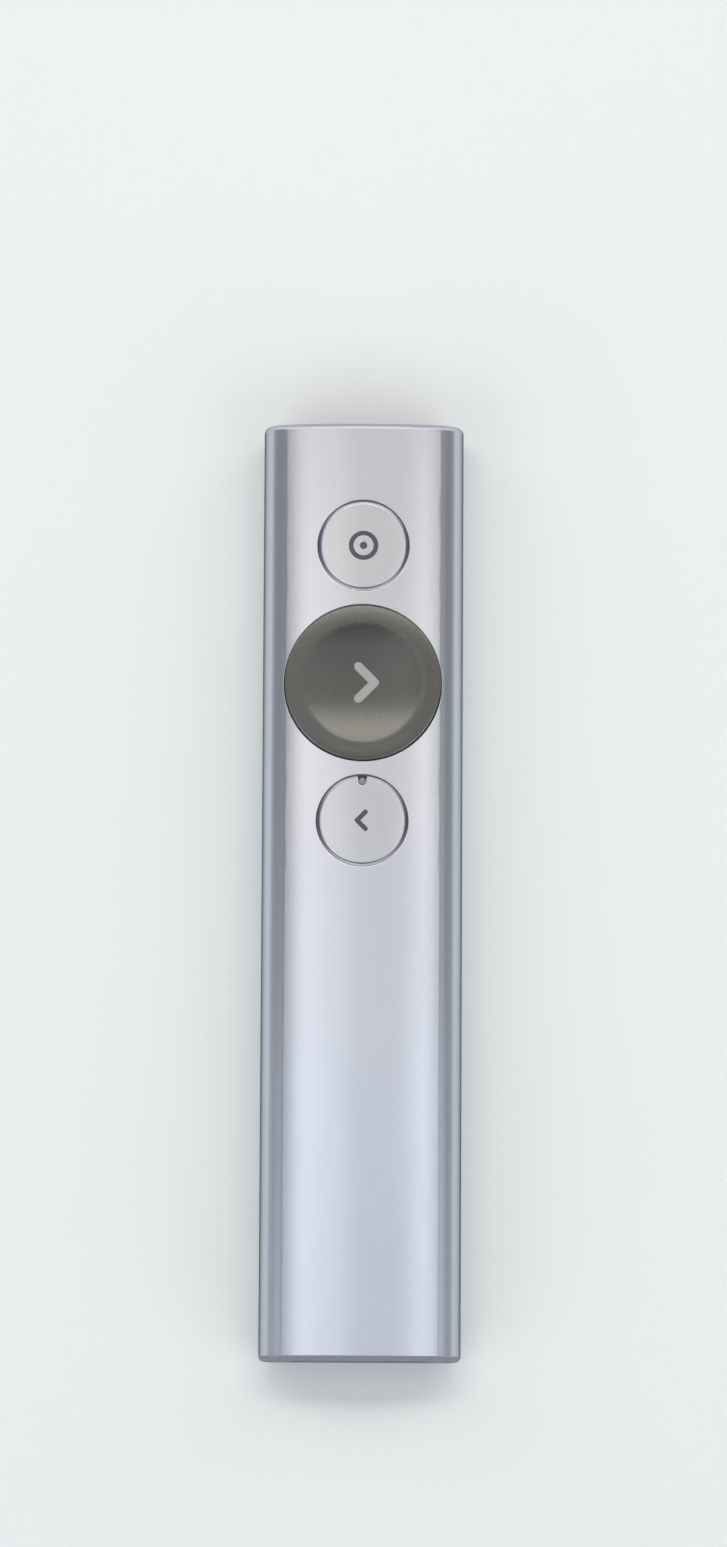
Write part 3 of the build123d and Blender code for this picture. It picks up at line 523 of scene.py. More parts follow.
# %% The holes
def window_loop(xs, ys):
    """A rectangle's border as one loop of points: up its right side, across, down and back."""
    up, across = len(ys) - 1, len(xs) - 1
    x = np.concatenate([np.full(up, xs[0]), xs[:-1], np.full(up, xs[-1]), xs[:0:-1]])
    y = np.concatenate([ys[:-1], np.full(across, ys[-1]), ys[:0:-1], np.full(across, ys[0])])
    return x, y


def button_hole(centre_y, radius, ys):
    """Rows from the window's border to the hole, over its lip, down its wall and back out."""
    outer_x, loop_y = window_loop(pulled_in(0.0, window_columns)[0], ys)
    inner_x, _ = window_loop(pulled_in(shell_wall, window_columns)[0], ys)
    angle = np.arctan2(loop_y - centre_y, outer_x)
    share = (np.linspace(0.0, 1.0, 17)[:-1] ** 1.5)[:, None]
    lip = radius + hole_lip
    top_x = outer_x * (1 - share) + lip * np.cos(angle) * share
    top_y = loop_y * (1 - share) + (centre_y + lip * np.sin(angle)) * share
    side, drop = rounding(1.0, 9)
    wall_depths = [0.5, 0.9, shell_wall]
    ring = radius + np.concatenate([hole_lip * side, np.zeros(len(wall_depths))])[:, None]
    depth = np.concatenate([lip_drop * drop, wall_depths])[:, None]
    ring_x, ring_y = ring * np.cos(angle), centre_y + ring * np.sin(angle)
    back = np.linspace(0.25, 1.0, 4)[:, None]
    low_x = radius * np.cos(angle) * (1 - back) + inner_x * back
    low_y = (centre_y + radius * np.sin(angle)) * (1 - back) + loop_y * back
    x = np.concatenate([top_x, ring_x, low_x])
    y = np.concatenate([top_y, ring_y, low_y])
    inset = np.concatenate([0 * share, depth, 0 * back + shell_wall])
    wall = (inset > lip_drop - hair) & (np.hypot(x, y - centre_y) < radius + hair)
    return grid(x, y, crown_height(x, inset), wall.astype(float))


holes = [(pointer_y, small_hole), (next_y, next_hole), (back_y, small_hole)]
tube += [button_hole(centre_y, radius, ys) for (centre_y, radius), ys in zip(holes, window_ys)]
drawn_tube = piece("drawn_tube", tube, "case", "anodised_aluminium", "outer_shell")

# %% [markdown]
# The window's facets are coarse where the shoulder turns fast, and a mirror-like skin would show
# that. The outline's own normals are known everywhere, so they are set on every corner of a face
# that lies on the skin, and the other corners keep the normals that Blender works out.

# %% Exact normals on the skin
def read(items, name, width, kind=float):
    """One property of every vertex, corner or face, as the rows of an array."""
    values = np.empty(len(items) * width, kind)
    items.foreach_get(name, values)
    return values.reshape(-1, width)


def set_skin_normals(mesh):
    """Give corners on the outer skin the outline's normal; a zero normal keeps Blender's own."""
    points = read(mesh.vertices, "co", 3) / MM
    corner = read(mesh.loops, "vertex_index", 1, int)[:, 0]
    sides = read(mesh.polygons, "loop_total", 1, int)[:, 0]
    flat = np.repeat(read(mesh.polygons, "normal", 3), sides, axis=0)
    deep, normal = skin_normals(points[:, 0], points[:, 2])
    on_skin = (np.abs(deep) < 2 * hair) & (np.abs(points[:, 1]) < front_y - rim_round + 0.01)
    normal = normal[corner] * on_skin[corner, None]
    normal *= (np.sum(normal * flat, axis=1) > 0.9)[:, None]
    mesh.normals_split_custom_set(normal.tolist())
    print(f"{int(np.count_nonzero(normal.any(axis=1)))} of {len(corner)} corners lie on the skin")


set_skin_normals(drawn_tube.data)

# %% [markdown]
# ## Marks
#
# Each button carries a mark: a ring with a dot, and two arrows made of two square arms at right
# angles. On the real caps the mark is a shallow pocket filled with paint. Here one function
# measures how far inside a mark a point lies. The caps sink where it is positive, and a separate
# inlay fills the pocket to just under the surface, so the mark's border is crisp.

# %% Distance inside each mark
root2 = math.sqrt(2.0)
target_ring = 2.03
target_stroke = 0.60
target_dot = 0.47
mark_sink = 0.04  # how far the paint lies under the cap
pocket_depth = 0.3
small_slope, next_slope = 0.07, 0.12  # how wide a pocket's wall is, seen from above
arrow_next = dict(reach=3.1, stroke=1.22, tip_x=2.5, facing=1.0)
arrow_back = dict(reach=1.6, stroke=0.6, tip_x=1.15, facing=-1.0)
blunting = 0.19  # how far an arrow's outer corner is worn back, as a share of its stroke


def inside_target(x, y):
    """Positive in the dot and in the ring: their radii less the distance from the middle."""
    away = np.hypot(x, y)
    ring = target_stroke / 2 - np.abs(away - (target_ring - target_stroke / 2))
    return np.maximum(target_dot - away, ring)


def inside_arrow(x, y, reach, stroke, tip_x, facing):
    """Positive inside the arrow: behind its outer edge, before its inner edge and its round ends."""
    x = facing * x
    outer = (tip_x - x - np.hypot(y, blunting * stroke)) / root2
    across = (tip_x - x - np.abs(y)) / root2
    past = (np.abs(y) - x + tip_x) / root2 - (root2 * reach - stroke / 2)
    ends = stroke / 2 - np.hypot(np.maximum(past, 0.0), across - stroke / 2)
    return np.where(past > 0, ends, np.minimum(outer, stroke - across))


def pocket(inside, slope):
    """Depth of the pocket: a smooth step from 0 outside to its full depth over slope."""
    share = np.clip(inside / slope + 0.5, 0.0, 1.0)
    return pocket_depth * share * share * (3 - 2 * share)


# %% [markdown]
# ## Small caps
#
# The pointer and back caps are turned from aluminium bar and ground a little rounder than the
# crown, so a finger feels them at their sides. A polar grid suits them: rows run out from the
# middle, which is level with the crown, and are fine where the mark is. They go on over a tiny
# round edge and down the wall to a narrow ledge that keeps dust out of the gap. Wall and ledge
# carry painted shade and a painted highlight: the edge value goes from -1 at the gap's sides,
# painted dark, to 0 at the tail end and 0.3 at the other, painted lighter. The back cap's
# edge has a notch for the status light, a dip in the outer radius.

# %% Sizes and helpers of the small caps
cap_low = crown_top - 1.9
cap_edge = 0.09
cap_round_off = 0.0027  # a small cap's fall below the crown is this share of the square of x
light_y, _ = button_place("light_pipe")
notch_radius = 0.56
ledge_depth, ledge_reach, ledge_break = 0.5, 0.33, 0.1  # of the ledge low in the gap
mark_reach = 2.5  # the rows are fine out to here


def polar_angles(count, fine_at=None, fine_width=0.16):
    """Angles round a circle, optionally with a fine stretch centred on one angle."""
    angle = np.linspace(0.0, 2 * math.pi, count, endpoint=False)
    if fine_at is None:
        return angle
    fine = np.linspace(fine_at - fine_width, fine_at + fine_width, 41)
    coarse = angle[np.abs(angle - fine_at) > fine_width + 0.5 * angle[1]]
    return np.sort(np.concatenate([coarse, fine]))


def fade(distance, reach):
    """An edge value that is 1 at no distance and falls off smoothly within about reach."""
    return np.exp(-np.square(distance / reach))


def small_cap_height(x):
    """Height of a small cap's bare top: the crown's, less a share of the square of x."""
    return crown_height(x) - cap_round_off * np.square(x)


def notched_rim(angle, reach):
    """The cap's radius at each angle, with a round notch whose middle is reach away towards +Y."""
    swing = reach * np.cos(angle)
    across = np.sqrt(np.maximum(notch_radius**2 - swing**2, 0.0))
    in_notch = (np.abs(swing) < notch_radius) & (np.sin(angle) > 0)
    return np.where(in_notch, reach * np.sin(angle) - across, small_radius)


# %% Small caps
def small_cap(centre_y, inside, notched):
    """Rows over the top, less the mark's pocket, round the edge and down to the underside."""
    angle = polar_angles(288, math.pi / 2 if notched else None)
    rim = notched_rim(angle, light_y - centre_y) if notched else small_radius + 0 * angle
    side, drop = rounding(cap_edge, 6)[:, 1:]
    fine = np.arange(0.0, mark_reach, 0.035)
    coarse = np.linspace(mark_reach, small_radius - cap_edge, 14)
    spread = np.concatenate([fine, coarse, small_radius - side])[:, None]
    stretch = (rim - mark_reach) / (small_radius - mark_reach)
    away = np.where(spread < mark_reach, spread, mark_reach + (spread - mark_reach) * stretch)
    x, y = away * np.cos(angle), away * np.sin(angle)
    z = small_cap_height(x) - pocket(inside(x, y), small_slope)
    z[-len(drop) :] -= drop[:, None]
    wall = rim + np.array([0.0, ledge_reach, ledge_reach, ledge_reach - ledge_break])[:, None]
    floor = rim * np.array([0.6, 0.25, 0.0])[:, None]
    ledge_z = z[-1] - ledge_depth
    wall_z = np.stack([ledge_z, ledge_z, 0 * angle + cap_low + ledge_break, 0 * angle + cap_low])
    below = np.concatenate([wall, floor])
    x = np.concatenate([x, below * np.cos(angle)])
    y = np.concatenate([y, below * np.sin(angle)])
    z = np.concatenate([z, wall_z, 0 * floor + cap_low])
    edge = 0.2 * fade(rim - np.hypot(x, y), 0.05)
    # Painted shade darkens the wall and the ledge at the gap's sides, and a painted highlight lightens
    # them at the end towards the pointing end.
    painted_light_end = 0.3 * (np.sin(angle) > 0)
    edge[len(spread) :] = painted_light_end * np.square(np.sin(angle)) - np.square(np.cos(angle))
    return grid(x, y + centre_y, z, edge)


pointer_grid = small_cap(pointer_y, inside_target, False)
back_grid = small_cap(back_y, lambda x, y: inside_arrow(x, y, **arrow_back), True)
piece("pointer_disc", [pointer_grid], "pointer_button", "cap_silver", "pointer_cap")
piece("back_disc", [back_grid], "back_button", "cap_silver", "back_cap")

# %% [markdown]
# ## The dished cap
#
# The big cap is moulded and has a soft-touch skin. Its ring slopes down to the crown and its
# middle is a shallow dish that centres the thumb. It is a turned shape, so a profile of radius
# and height is carried round: a spherical dish, a softened crest, a ring that bulges a little,
# a rounded outer edge, a skirt, and a hollow that sits over its core.

# %% Profile of the dished cap
crest_radius = next_radius - 2.35
crest_top = crown_top + 0.9
dish_depth = 0.9
ring_foot = crown_top + 0.7
ring_bulge = 0.03
skirt_low = crown_top - 2.3
core_top = crown_top - 1.0
core_radius = next_radius - 1.2
worn_low = crown_top - 0.8  # wear ends here on the skirt
crest_soft, foot_soft = 0.30, 0.13  # how far the ring's inner and outer edge are softened
arrow_out = 3.6  # the dish's rows are fine out to here


def cap_of_sphere(radius, rise, r):
    """Height at r of a cap of a sphere that is rise high in its middle and 0 at radius."""
    sphere = (radius**2 + rise**2) / (2 * rise)
    return rise - sphere + np.sqrt(sphere**2 - np.square(r))


def dish_height(r):
    """Height of the dish: the crest's, less a cap of a sphere that fills the dish."""
    return crest_top - cap_of_sphere(crest_radius, dish_depth, r)


def soften(points, corner, reach, count=7):
    """Replace what lies within reach of a corner by a curve that leaves both sides smoothly."""
    away = np.hypot(*(points - points[corner]).T)
    near = np.flatnonzero(away < reach)
    start, stop = points[near[0] - 1], points[near[-1] + 1]
    t = np.linspace(0.0, 1.0, count)[1:-1, None]
    curve = (1 - t) ** 2 * start + 2 * t * (1 - t) * points[corner] + t**2 * stop
    return np.concatenate([points[: near[0]], curve, points[near[-1] + 1 :]])


def dished_profile():
    """(radius, height) from the dish's middle, over the crest and the skirt, to the underside."""
    fine, coarse = np.arange(0.0, arrow_out, 0.045), np.linspace(arrow_out, crest_radius, 24)
    dish_r = np.concatenate([fine, coarse])
    share = np.linspace(0.0, 1.0, 26)[1:]
    ring_r = crest_radius + share * (next_radius - crest_radius)
    ring_z = crest_top + share * (ring_foot - crest_top) + 4 * ring_bulge * share * (1 - share)
    wall_z = np.linspace(ring_foot, skirt_low, 14)[1:]
    r = np.concatenate([dish_r, ring_r, 0 * wall_z + next_radius])
    profile = np.stack([r, np.concatenate([dish_height(dish_r), ring_z, wall_z])], axis=-1)
    profile = soften(profile, len(dish_r) + len(ring_r) - 1, foot_soft)
    profile = soften(profile, len(dish_r) - 1, crest_soft, 9)
    hollow = [(share * core_radius, core_top) for share in (1.0, 0.5, 0.0)]
    return np.concatenate([profile, [(core_radius, skirt_low)] + hollow])


# %% Dished cap
def dished_cap():
    """The profile carried round, less the arrow's pocket on its upper side."""
    profile = dished_profile()
    angle = polar_angles(320)
    x, y = profile[:, :1] * np.cos(angle), profile[:, :1] * np.sin(angle)
    z = profile[:, 1:] + 0 * x
    z = z - (z > core_top) * pocket(inside_arrow(x, y, **arrow_next), next_slope)
    away = np.hypot(x, y)
    painted_light_side = 0.6 - 0.4 * np.sin(angle)  # painted light: the outer edge's worn grey is raised on the tail side
    across = np.clip((away - crest_radius) / (next_radius - crest_radius), 0.0, 1.0)
    edge = 0.1 * fade(away - crest_radius, 0.5) + painted_light_side * fade(next_radius - away, 0.12)
    # Painted light: the ring's tail side takes the worn grey as well.
    edge += 0.35 * np.sin(math.pi * across) * np.square(np.maximum(-np.sin(angle), 0.0))
    return grid(x, y + next_y, z, edge * (z > worn_low))


piece("next_dish", [dished_cap()], "next_button", "soft_touch", "next_cap", sharp_degrees=50.0)

# %% [markdown]
# ## Inlays
#
# The paint in each pocket is a thin solid of its own. The ring and the dot are turned, and an
# arrow is a flat bar's section carried along one arm, round the corner and along the other: the
# rows run from end to end, the columns go round the section. Each inlay reaches a hair under the
# pocket's wall, so no gap shows.

# %% The ring and the dot
tuck = 0.03
paint_depth = 0.2
paint_round = 0.03


def turned(profile, centre_y, count):
    """A profile of (radius, height) carried round an upright axis at centre_y."""
    angle = polar_angles(count)
    radius, height = np.array(profile).T[:, :, None]
    return grid(radius * np.cos(angle), centre_y + radius * np.sin(angle), height)


def paint_section(width):
    """A closed loop (across, height) of a thin bar with rounded upper edges."""
    side, drop = rounding(paint_round, 4)
    left = np.stack([drop - tuck, -side], axis=-1)
    middle = np.stack([np.linspace(0.15, 0.85, 6) * width, np.zeros(6)], axis=-1)
    right_side = left[::-1] * [-1.0, 1.0] + [width, 0.0]
    under = np.array([[width + tuck, -paint_depth], [width / 2, -paint_depth], [-tuck, -paint_depth]])
    return np.concatenate([left, middle, right_side, under])


def surface_at(x, y, button):
    """Height of a button's bare surface at a point measured from its middle."""
    return dish_height(np.hypot(x, y)) if button == "next" else small_cap_height(x)


def target_inlay(centre_y):
    """The ring's section carried round, and a dot that closes at its middle."""
    section = paint_section(target_stroke)
    ring = np.concatenate([section, section[:1]]) + [target_ring - target_stroke, 0.0]
    dot = np.zeros((6, 2))
    dot[:, 0] = [0.0, 0.25, target_dot, target_dot + tuck, target_dot + tuck, 0.0]
    dot[3:, 1] = [-paint_round, -paint_depth, -paint_depth]
    made = []
    for profile in (ring, dot):
        points, edge, wrap = turned(profile, 0.0, 120)
        points[..., 2] += surface_at(points[..., 0], points[..., 1], "pointer") - mark_sink
        made.append((points + [0.0, centre_y, 0.0], edge, wrap))
    return made


# %% The arrows
def arrow_inlay(centre_y, button, reach, stroke, tip_x, facing):
    """For across c and along u from -1 to 1: y = u * (end - c) / root 2, and x falls behind it.
    The end is a half circle: it draws back as c leaves the middle of the stroke."""
    section = paint_section(stroke)
    along = np.concatenate([[-1.0], np.linspace(-1.0, 1.0, 61), [1.0]])[:, None]
    across, height = section[None, :, 0], section[None, :, 1]
    half = stroke / 2 + tuck
    off_middle = np.clip((across - stroke / 2) / half, -1.0, 1.0)
    end = root2 * reach - stroke / 2 + half * np.sqrt(1 - np.square(off_middle))
    y = along * (end - across) / root2
    worn = blunting * stroke * np.clip(1 - across / stroke, 0.0, 1.0)
    x = tip_x - root2 * across - np.hypot(y, worn)
    height = height + 0 * x
    for row in (0, -1):
        x[row], y[row], height[row] = x[row].mean(), y[row].mean(), -paint_depth / 2
    x = facing * x
    return grid(x, y + centre_y, surface_at(x, y, button) + height - mark_sink)


next_arrow = arrow_inlay(next_y, "next", **arrow_next)
back_arrow = arrow_inlay(back_y, "back", **arrow_back)
piece("pointer_mark", target_inlay(pointer_y), "pointer_button", "mark_dark", "pointer_icon")
piece("next_mark", [next_arrow], "next_button", "mark_light", "next_icon")
piece("back_mark", [back_arrow], "back_button", "mark_dark", "back_icon")

# %% [markdown]
# ## Front cap
#
# The pointing end is closed by a moulded cap that sits a little inside the rim, so a drop lands
# on metal. A flat disc would look dead, so its face is domed by a tenth of a millimetre and its
# edge is rounded. Every row is the bar's own outline, pulled in and then scaled towards the
# middle, which closes the face at one point. Inside it is hollow, with two bosses for screws.

# %% Front cap
seat_gap = 0.05
end_setback = 0.3
plug_gap = 0.10
front_wall = 1.2
front_face = 1.5
face_dome = 0.10
face_round = 0.25
middle_z = crown_top / 2
cap_back = float(box_mm("front_cap")[0][1])


def end_rows(rows):
    """The outline for rows of (inset, share, y): pulled in by inset, then scaled by share."""
    inset, share, y = np.array(rows, float).T[:, :, None]
    x, z = pulled_in(inset)
    return grid(share * x, y, middle_z + share * (z - middle_z))


def front_cap_rows():
    """(inset, share, y) from the face's middle, over its edge and the plug, to the hollow's floor."""
    seat, plug, top = rim_wall + seat_gap, shell_wall + plug_gap, front_y - end_setback
    rows = [(seat + face_round, s, top - face_dome * s * s) for s in np.linspace(0.0, 1.0, 16)]
    for side, drop in rounding(face_round, 7).T[1:]:
        rows.append((seat + side, 1.0, top - face_dome - drop))
    step, back, floor = front_y - rim_depth, cap_back + end_setback, top - front_face
    rows += [(seat, 1.0, step), (plug, 1.0, step), (plug, 1.0, back), (plug + front_wall, 1.0, back)]
    rows += [(plug + front_wall, s, floor) for s in (1.0, 0.6, 0.2, 0.0)]
    return rows


# %% Bosses of the front cap
def turned_lengthwise(centre_x, centre_z, profile):
    """A profile of (radius, y) carried round an axis that runs along the bar."""
    angle = polar_angles(40)
    radius, y = np.array(profile).T[:, :, None]
    return grid(centre_x + radius * np.cos(angle), y, centre_z + radius * np.sin(angle))


screw_low, screw_high = box_mm("front_screws")
screw_z = (screw_low[2] + screw_high[2]) / 2
boss_x, boss_radius, bore_radius, bore_depth = 7.0, 1.9, 0.82, 3.0
boss_top = front_y - end_setback - front_face + 0.2  # a little into the face, so they join
boss_floor, boss_break = cap_back + bore_depth, 0.1
boss_profile = [
    (0.0, boss_top),
    (boss_radius, boss_top),
    (boss_radius, cap_back + boss_break),
    (boss_radius - boss_break, cap_back),
    (bore_radius, cap_back),
    (bore_radius, boss_floor),
    (0.0, boss_floor),
]
cap_grids = [end_rows(front_cap_rows())]
cap_grids += [turned_lengthwise(side * boss_x, screw_z, boss_profile) for side in (-1, 1)]
piece("pointing_cap", cap_grids, "case", "end_plastic", "front_cap")

# %% [markdown]
# ## Receiver head
#
# The receiver's head fills the tail's recess and is pulled out by a fingernail, so its face has
# a slot with round ends. The grid runs from the slot's floor, up its wall and over its lip, then
# spreads across the face to the bar's outline. Each outline point is paired with the slot's
# border in its own direction, so the columns never cross.

# %% Receiver head
head_low, head_high = box_mm("receiver_head")
head_inset = half_width - float(head_high[0])
head_face, head_back = float(head_low[1]), float(head_high[1])
head_round = 0.3
slot_reach, slot_radius, slot_deep, slot_lip = 4.6, 0.9, 0.9, 0.14
slot_z = float(np.mean([box_mm("plug_shell")[0][2], box_mm("plug_shell")[1][2]]))


def slot_border(inset, radius):
    """For each outline point: the nearest point of the slot's spine, and radius towards the point."""
    x, z = pulled_in(inset)
    spine = np.clip(x, -slot_reach, slot_reach)
    away = np.maximum(np.hypot(x - spine, z - slot_z), 1e-9)
    return spine + radius * (x - spine) / away, slot_z + radius * (z - slot_z) / away


def receiver_head_grid():
    """Slot floor, wall and lip, then the face as a blend to the outline, the side and the back."""
    edge_inset = head_inset + head_round
    x, z = slot_border(edge_inset, slot_radius)
    rows = [(s * x, head_face + slot_deep, slot_z + s * (z - slot_z)) for s in (0.0, 0.4, 0.8, 1.0)]
    for side, drop in rounding(slot_lip, 6).T:
        x, z = slot_border(edge_inset, slot_radius + drop)
        rows.append((x, head_face + side, z))
    far_x, far_z = pulled_in(edge_inset)
    for share in np.linspace(0.0, 1.0, 9)[1:]:
        rows.append((x + share * (far_x - x), head_face, z + share * (far_z - z)))
    for side, drop in rounding(head_round, 6).T[1:]:
        x, z = pulled_in(head_inset + side)
        rows.append((x, head_face + drop, z))
    rows += [(s * x, head_back, middle_z + s * (z - middle_z)) for s in (1.0, 0.6, 0.2, 0.0)]
    x, y, z = (np.stack([np.broadcast_to(row[k], len(outline)) for row in rows]) for k in range(3))
    return grid(x, y, z)


piece("pull_head", [receiver_head_grid()], "receiver", "receiver_plastic", "receiver_head")

# %% [markdown]
# ## Status light
#
# The notch in the back button's edge is where a smoked light guide comes up from the board. It
# is a turned pin: a low dome, a round edge, a long shank and the collar that holds it in the deck.

# %% Light guide
guide_low, guide_high = box_mm("light_pipe")
light_radius = 0.5  # of the light guide above its collar
guide_dome, guide_round = 0.3, 0.08  # the dome's fall is this share of the square of the radius
collar_top, collar_radius, collar_break = 6.3, 0.8, 0.04


def light_guide_profile():
    """(radius, height) from the lens's middle, over its edge, down the shank and the collar."""
    top, foot = float(guide_high[2]), float(guide_low[2])
    spread = np.linspace(0.0, light_radius - guide_round, 8)
    profile = [(r, top - guide_dome * r * r) for r in spread]
    edge_z = profile[-1][1]
    for side, drop in rounding(guide_round, 5).T[1:]:
        profile.append((light_radius - side, edge_z - drop))
    broken = collar_radius - collar_break
    return profile + [
        (light_radius, collar_top),
        (broken, collar_top),
        (collar_radius, collar_top - collar_break),
        (collar_radius, foot + collar_break),
        (broken, foot),
        (0.3, foot),
        (0.0, foot),
    ]


guide_grid = turned(light_guide_profile(), light_y, 64)
piece("light_lens", [guide_grid], "case", "clear_plastic", "light_pipe")

# %% [markdown]
# ## Spring domes
#
# The click of each button comes from a thin spring dome that stands on the board under the
# button's post. A pressed post would cut into a dome as packed. Each one here is a new surface
# with a mesh of its own: a cap of a sphere with a small dimple at its top, and the same again one
# sheet's thickness lower.

# %% Spring domes
dome_sheet = 0.1
dimple_radius, dimple_depth = 0.45, 0.03


def dome_profile(radius, rise):
    """Out over the cap, across its foot and back underneath; the dimple is a cosine bowl."""
    share = np.linspace(0.0, 1.0, 33)
    outside, under = share * radius, share[::-1] * (radius - dome_sheet)
    upper = cap_of_sphere(radius, rise, outside)
    lower = cap_of_sphere(radius - dome_sheet, rise - dome_sheet, under)
    r = np.concatenate([outside, under])
    bowl = dimple_depth * (1 + np.cos(math.pi * np.minimum(r / dimple_radius, 1.0))) / 2
    return np.stack([r, np.concatenate([upper, lower]) - bowl], axis=-1)


for button in ("pointer", "next", "back"):
    low, high = box_mm(f"{button}_dome")
    radius, rise = float(high[0]), float(high[2] - low[2])
    centre_y = float(low[1]) + radius
    dome_grid = turned(dome_profile(radius, rise) + [0.0, low[2]], centre_y, 96)
    dome = piece(f"{button}_spring", [dome_grid], "case", "spring_steel", f"{button}_dome")
    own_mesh(dome)

# %% [markdown]
# ## Floor
#
# A plain pale table top. It is a stage, not a part of the object, and it reaches far enough that
# a low view still ends in the room's pale horizon.

# %% Floor
floor_mesh = bpy.data.meshes.new("table_top")
reach = 4.0
corners = [(-reach, -reach, 0.0), (reach, -reach, 0.0), (reach, reach, 0.0), (-reach, reach, 0.0)]
floor_mesh.from_pydata(corners, [], [(0, 1, 2, 3)])
table_top = new_object("table_top", floor_mesh)
table_top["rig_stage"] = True
print("table top", 2 * reach, "m wide")

# %% [markdown]
# ## Grain and drift
#
# A finish is a Principled shader whose colour, roughness and normal come from shared node groups.
# They read Object coordinates, which here are the model's own metres, so a grain has one real size
# on every piece. Grain stands for what a blast, a brush or a mould leaves: it moves the roughness
# and the normal. Drift is the slow change of tone that every real batch shows.

# %% Node groups for grain and drift
def group_of(name, inputs, outputs):
    """A node group with named sockets: its tree, the sockets that come in and those that go out.
    An input's kind follows from its default's size: a number, a vector of 3 or a colour of 4."""
    kinds = {1: "NodeSocketFloat", 3: "NodeSocketVector", 4: "NodeSocketColor"}
    tree = bpy.data.node_groups.new(name, "ShaderNodeTree")
    for label, value in inputs.items():
        socket = tree.interface.new_socket(label, in_out="INPUT", socket_type=kinds[np.size(value)])
        socket.default_value = value
    for label, size in outputs.items():
        tree.interface.new_socket(label, in_out="OUTPUT", socket_type=kinds[size])
    return tree, tree.nodes.new("NodeGroupInput").outputs, tree.nodes.new("NodeGroupOutput").inputs


def noise_of(tree, given, **values):
    """Noise over Object coordinates, stretched and scaled by the group's own inputs."""
    where = node(tree, "ShaderNodeTexCoord").outputs["Object"]
    pulled = multiply(tree, where, given["Stretch"], "ShaderNodeVectorMath")
    noise = node(tree, "ShaderNodeTexNoise", Vector=pulled, Scale=given["Scale"], **values)
    return noise.outputs["Fac"]


def grain_group():
    """Grain: a noise of one real size gives roughness between two values, and a bump."""
    inputs = {"Scale": 9000.0, "Stretch": (1.0, 1.0, 1.0), "Depth": 4e-6, "Smooth": 0.3, "Rough": 0.4}
    tree, given, out = group_of("surface_grain", inputs, {"Roughness": 1, "Normal": 3})
    noise = noise_of(tree, given, Detail=3.0, Roughness=0.6)
    rough = node(tree, "ShaderNodeMapRange", Value=noise, From_Min=0.3, From_Max=0.7,
                 To_Min=given["Smooth"], To_Max=given["Rough"])
    bump = node(tree, "ShaderNodeBump", Strength=1.0, Height=noise, Distance=given["Depth"])
    feed(tree, out["Roughness"], rough.outputs["Result"])
    feed(tree, out["Normal"], bump.outputs["Normal"])
    return tree


def drift_group():
    """Drift: a soft cloudy noise mixes a colour towards a second one."""
    inputs = {"Color": (0.5, 0.5, 0.5, 1.0), "Other": (0.4, 0.4, 0.4, 1.0)}
    inputs |= {"Scale": 60.0, "Stretch": (1.0, 1.0, 1.0)}
    tree, given, out = group_of("tone_drift", inputs, {"Color": 4})
    noise = noise_of(tree, given, Detail=4.0, Roughness=0.55)
    share = node(tree, "ShaderNodeMapRange", Value=noise, From_Min=0.35, From_Max=0.65)
    feed(tree, out["Color"], mix(tree, share.outputs["Result"], given["Color"], given["Other"]))
    return tree


surface_grain, tone_drift = grain_group(), drift_group()

# %% [markdown]
# ## Wear and painted light
#
# Handling rubs an edge bright, and the edge value that the new surfaces carry tells where. The same
# value also paints light and shade. Above zero it lets a worn colour through, in patches: real wear
# on most edges, and painted light on a few. Below zero a dark colour takes over as painted shade,
# and either way the surface turns rougher.

# %% Node group for wear
def wear_and_painted_light_group():
    """Worn colour, real wear or painted light: edge value times a patchy noise. Painted shade colour:
    the edge value below zero. Roughness: mixed by how far the edge value is from zero."""
    inputs = {"Color": (0.5, 0.5, 0.5, 1.0), "Worn": (0.7, 0.7, 0.7, 1.0)}
    inputs |= {"Dark": (0.3, 0.3, 0.3, 1.0), "Roughness": 0.4, "Worn Roughness": 0.5}
    tree, given, out = group_of("edge_wear_and_painted_light", inputs, {"Color": 4, "Roughness": 1})
    wear_and_painted_light = node(tree, "ShaderNodeAttribute", attribute_name="edge").outputs["Fac"]
    where = node(tree, "ShaderNodeTexCoord").outputs["Object"]
    noise = node(tree, "ShaderNodeTexNoise", Vector=where, Scale=420.0, Detail=5.0, Roughness=0.6)
    patch = node(tree, "ShaderNodeMapRange", Value=noise.outputs["Fac"], From_Min=0.3, From_Max=0.7,
                 To_Min=0.35, To_Max=1.0)
    worn = multiply(tree, wear_and_painted_light, patch.outputs["Result"])
    below = multiply(tree, wear_and_painted_light, -1.0, use_clamp=True)
    either = node(tree, "ShaderNodeMath", operation="ABSOLUTE")
    feed(tree, either.inputs[0], wear_and_painted_light)
    rough = mix(tree, either.outputs[0], given["Roughness"], given["Worn Roughness"], "FLOAT")
    color = mix(tree, below, mix(tree, worn, given["Color"], given["Worn"]), given["Dark"])
    feed(tree, out["Color"], color)
    feed(tree, out["Roughness"], rough)
    return tree


edge_wear_and_painted_light = wear_and_painted_light_group()

# %% [markdown]
# ## The skins that are handled
#
# The tube is bead-blasted and anodised: an even satin, a little blue, paler and rougher where an
# edge is broken, with painted shade darkening its tail rim. The small caps are turned from bar and
# get the same satin, with painted shade at the sides of their gaps and a painted highlight at the
# gaps' far ends. The big cap has a soft-touch coat, warm and nearly black, that turns grey where it
# is worn, on its crest and its outer edge, and lighter grey on its ring's tail side as painted light.
# One function makes every finish from the shared groups, and leaves the wear and painted light out
# where none is asked for.

# %% One function makes every finish
finishes = {}


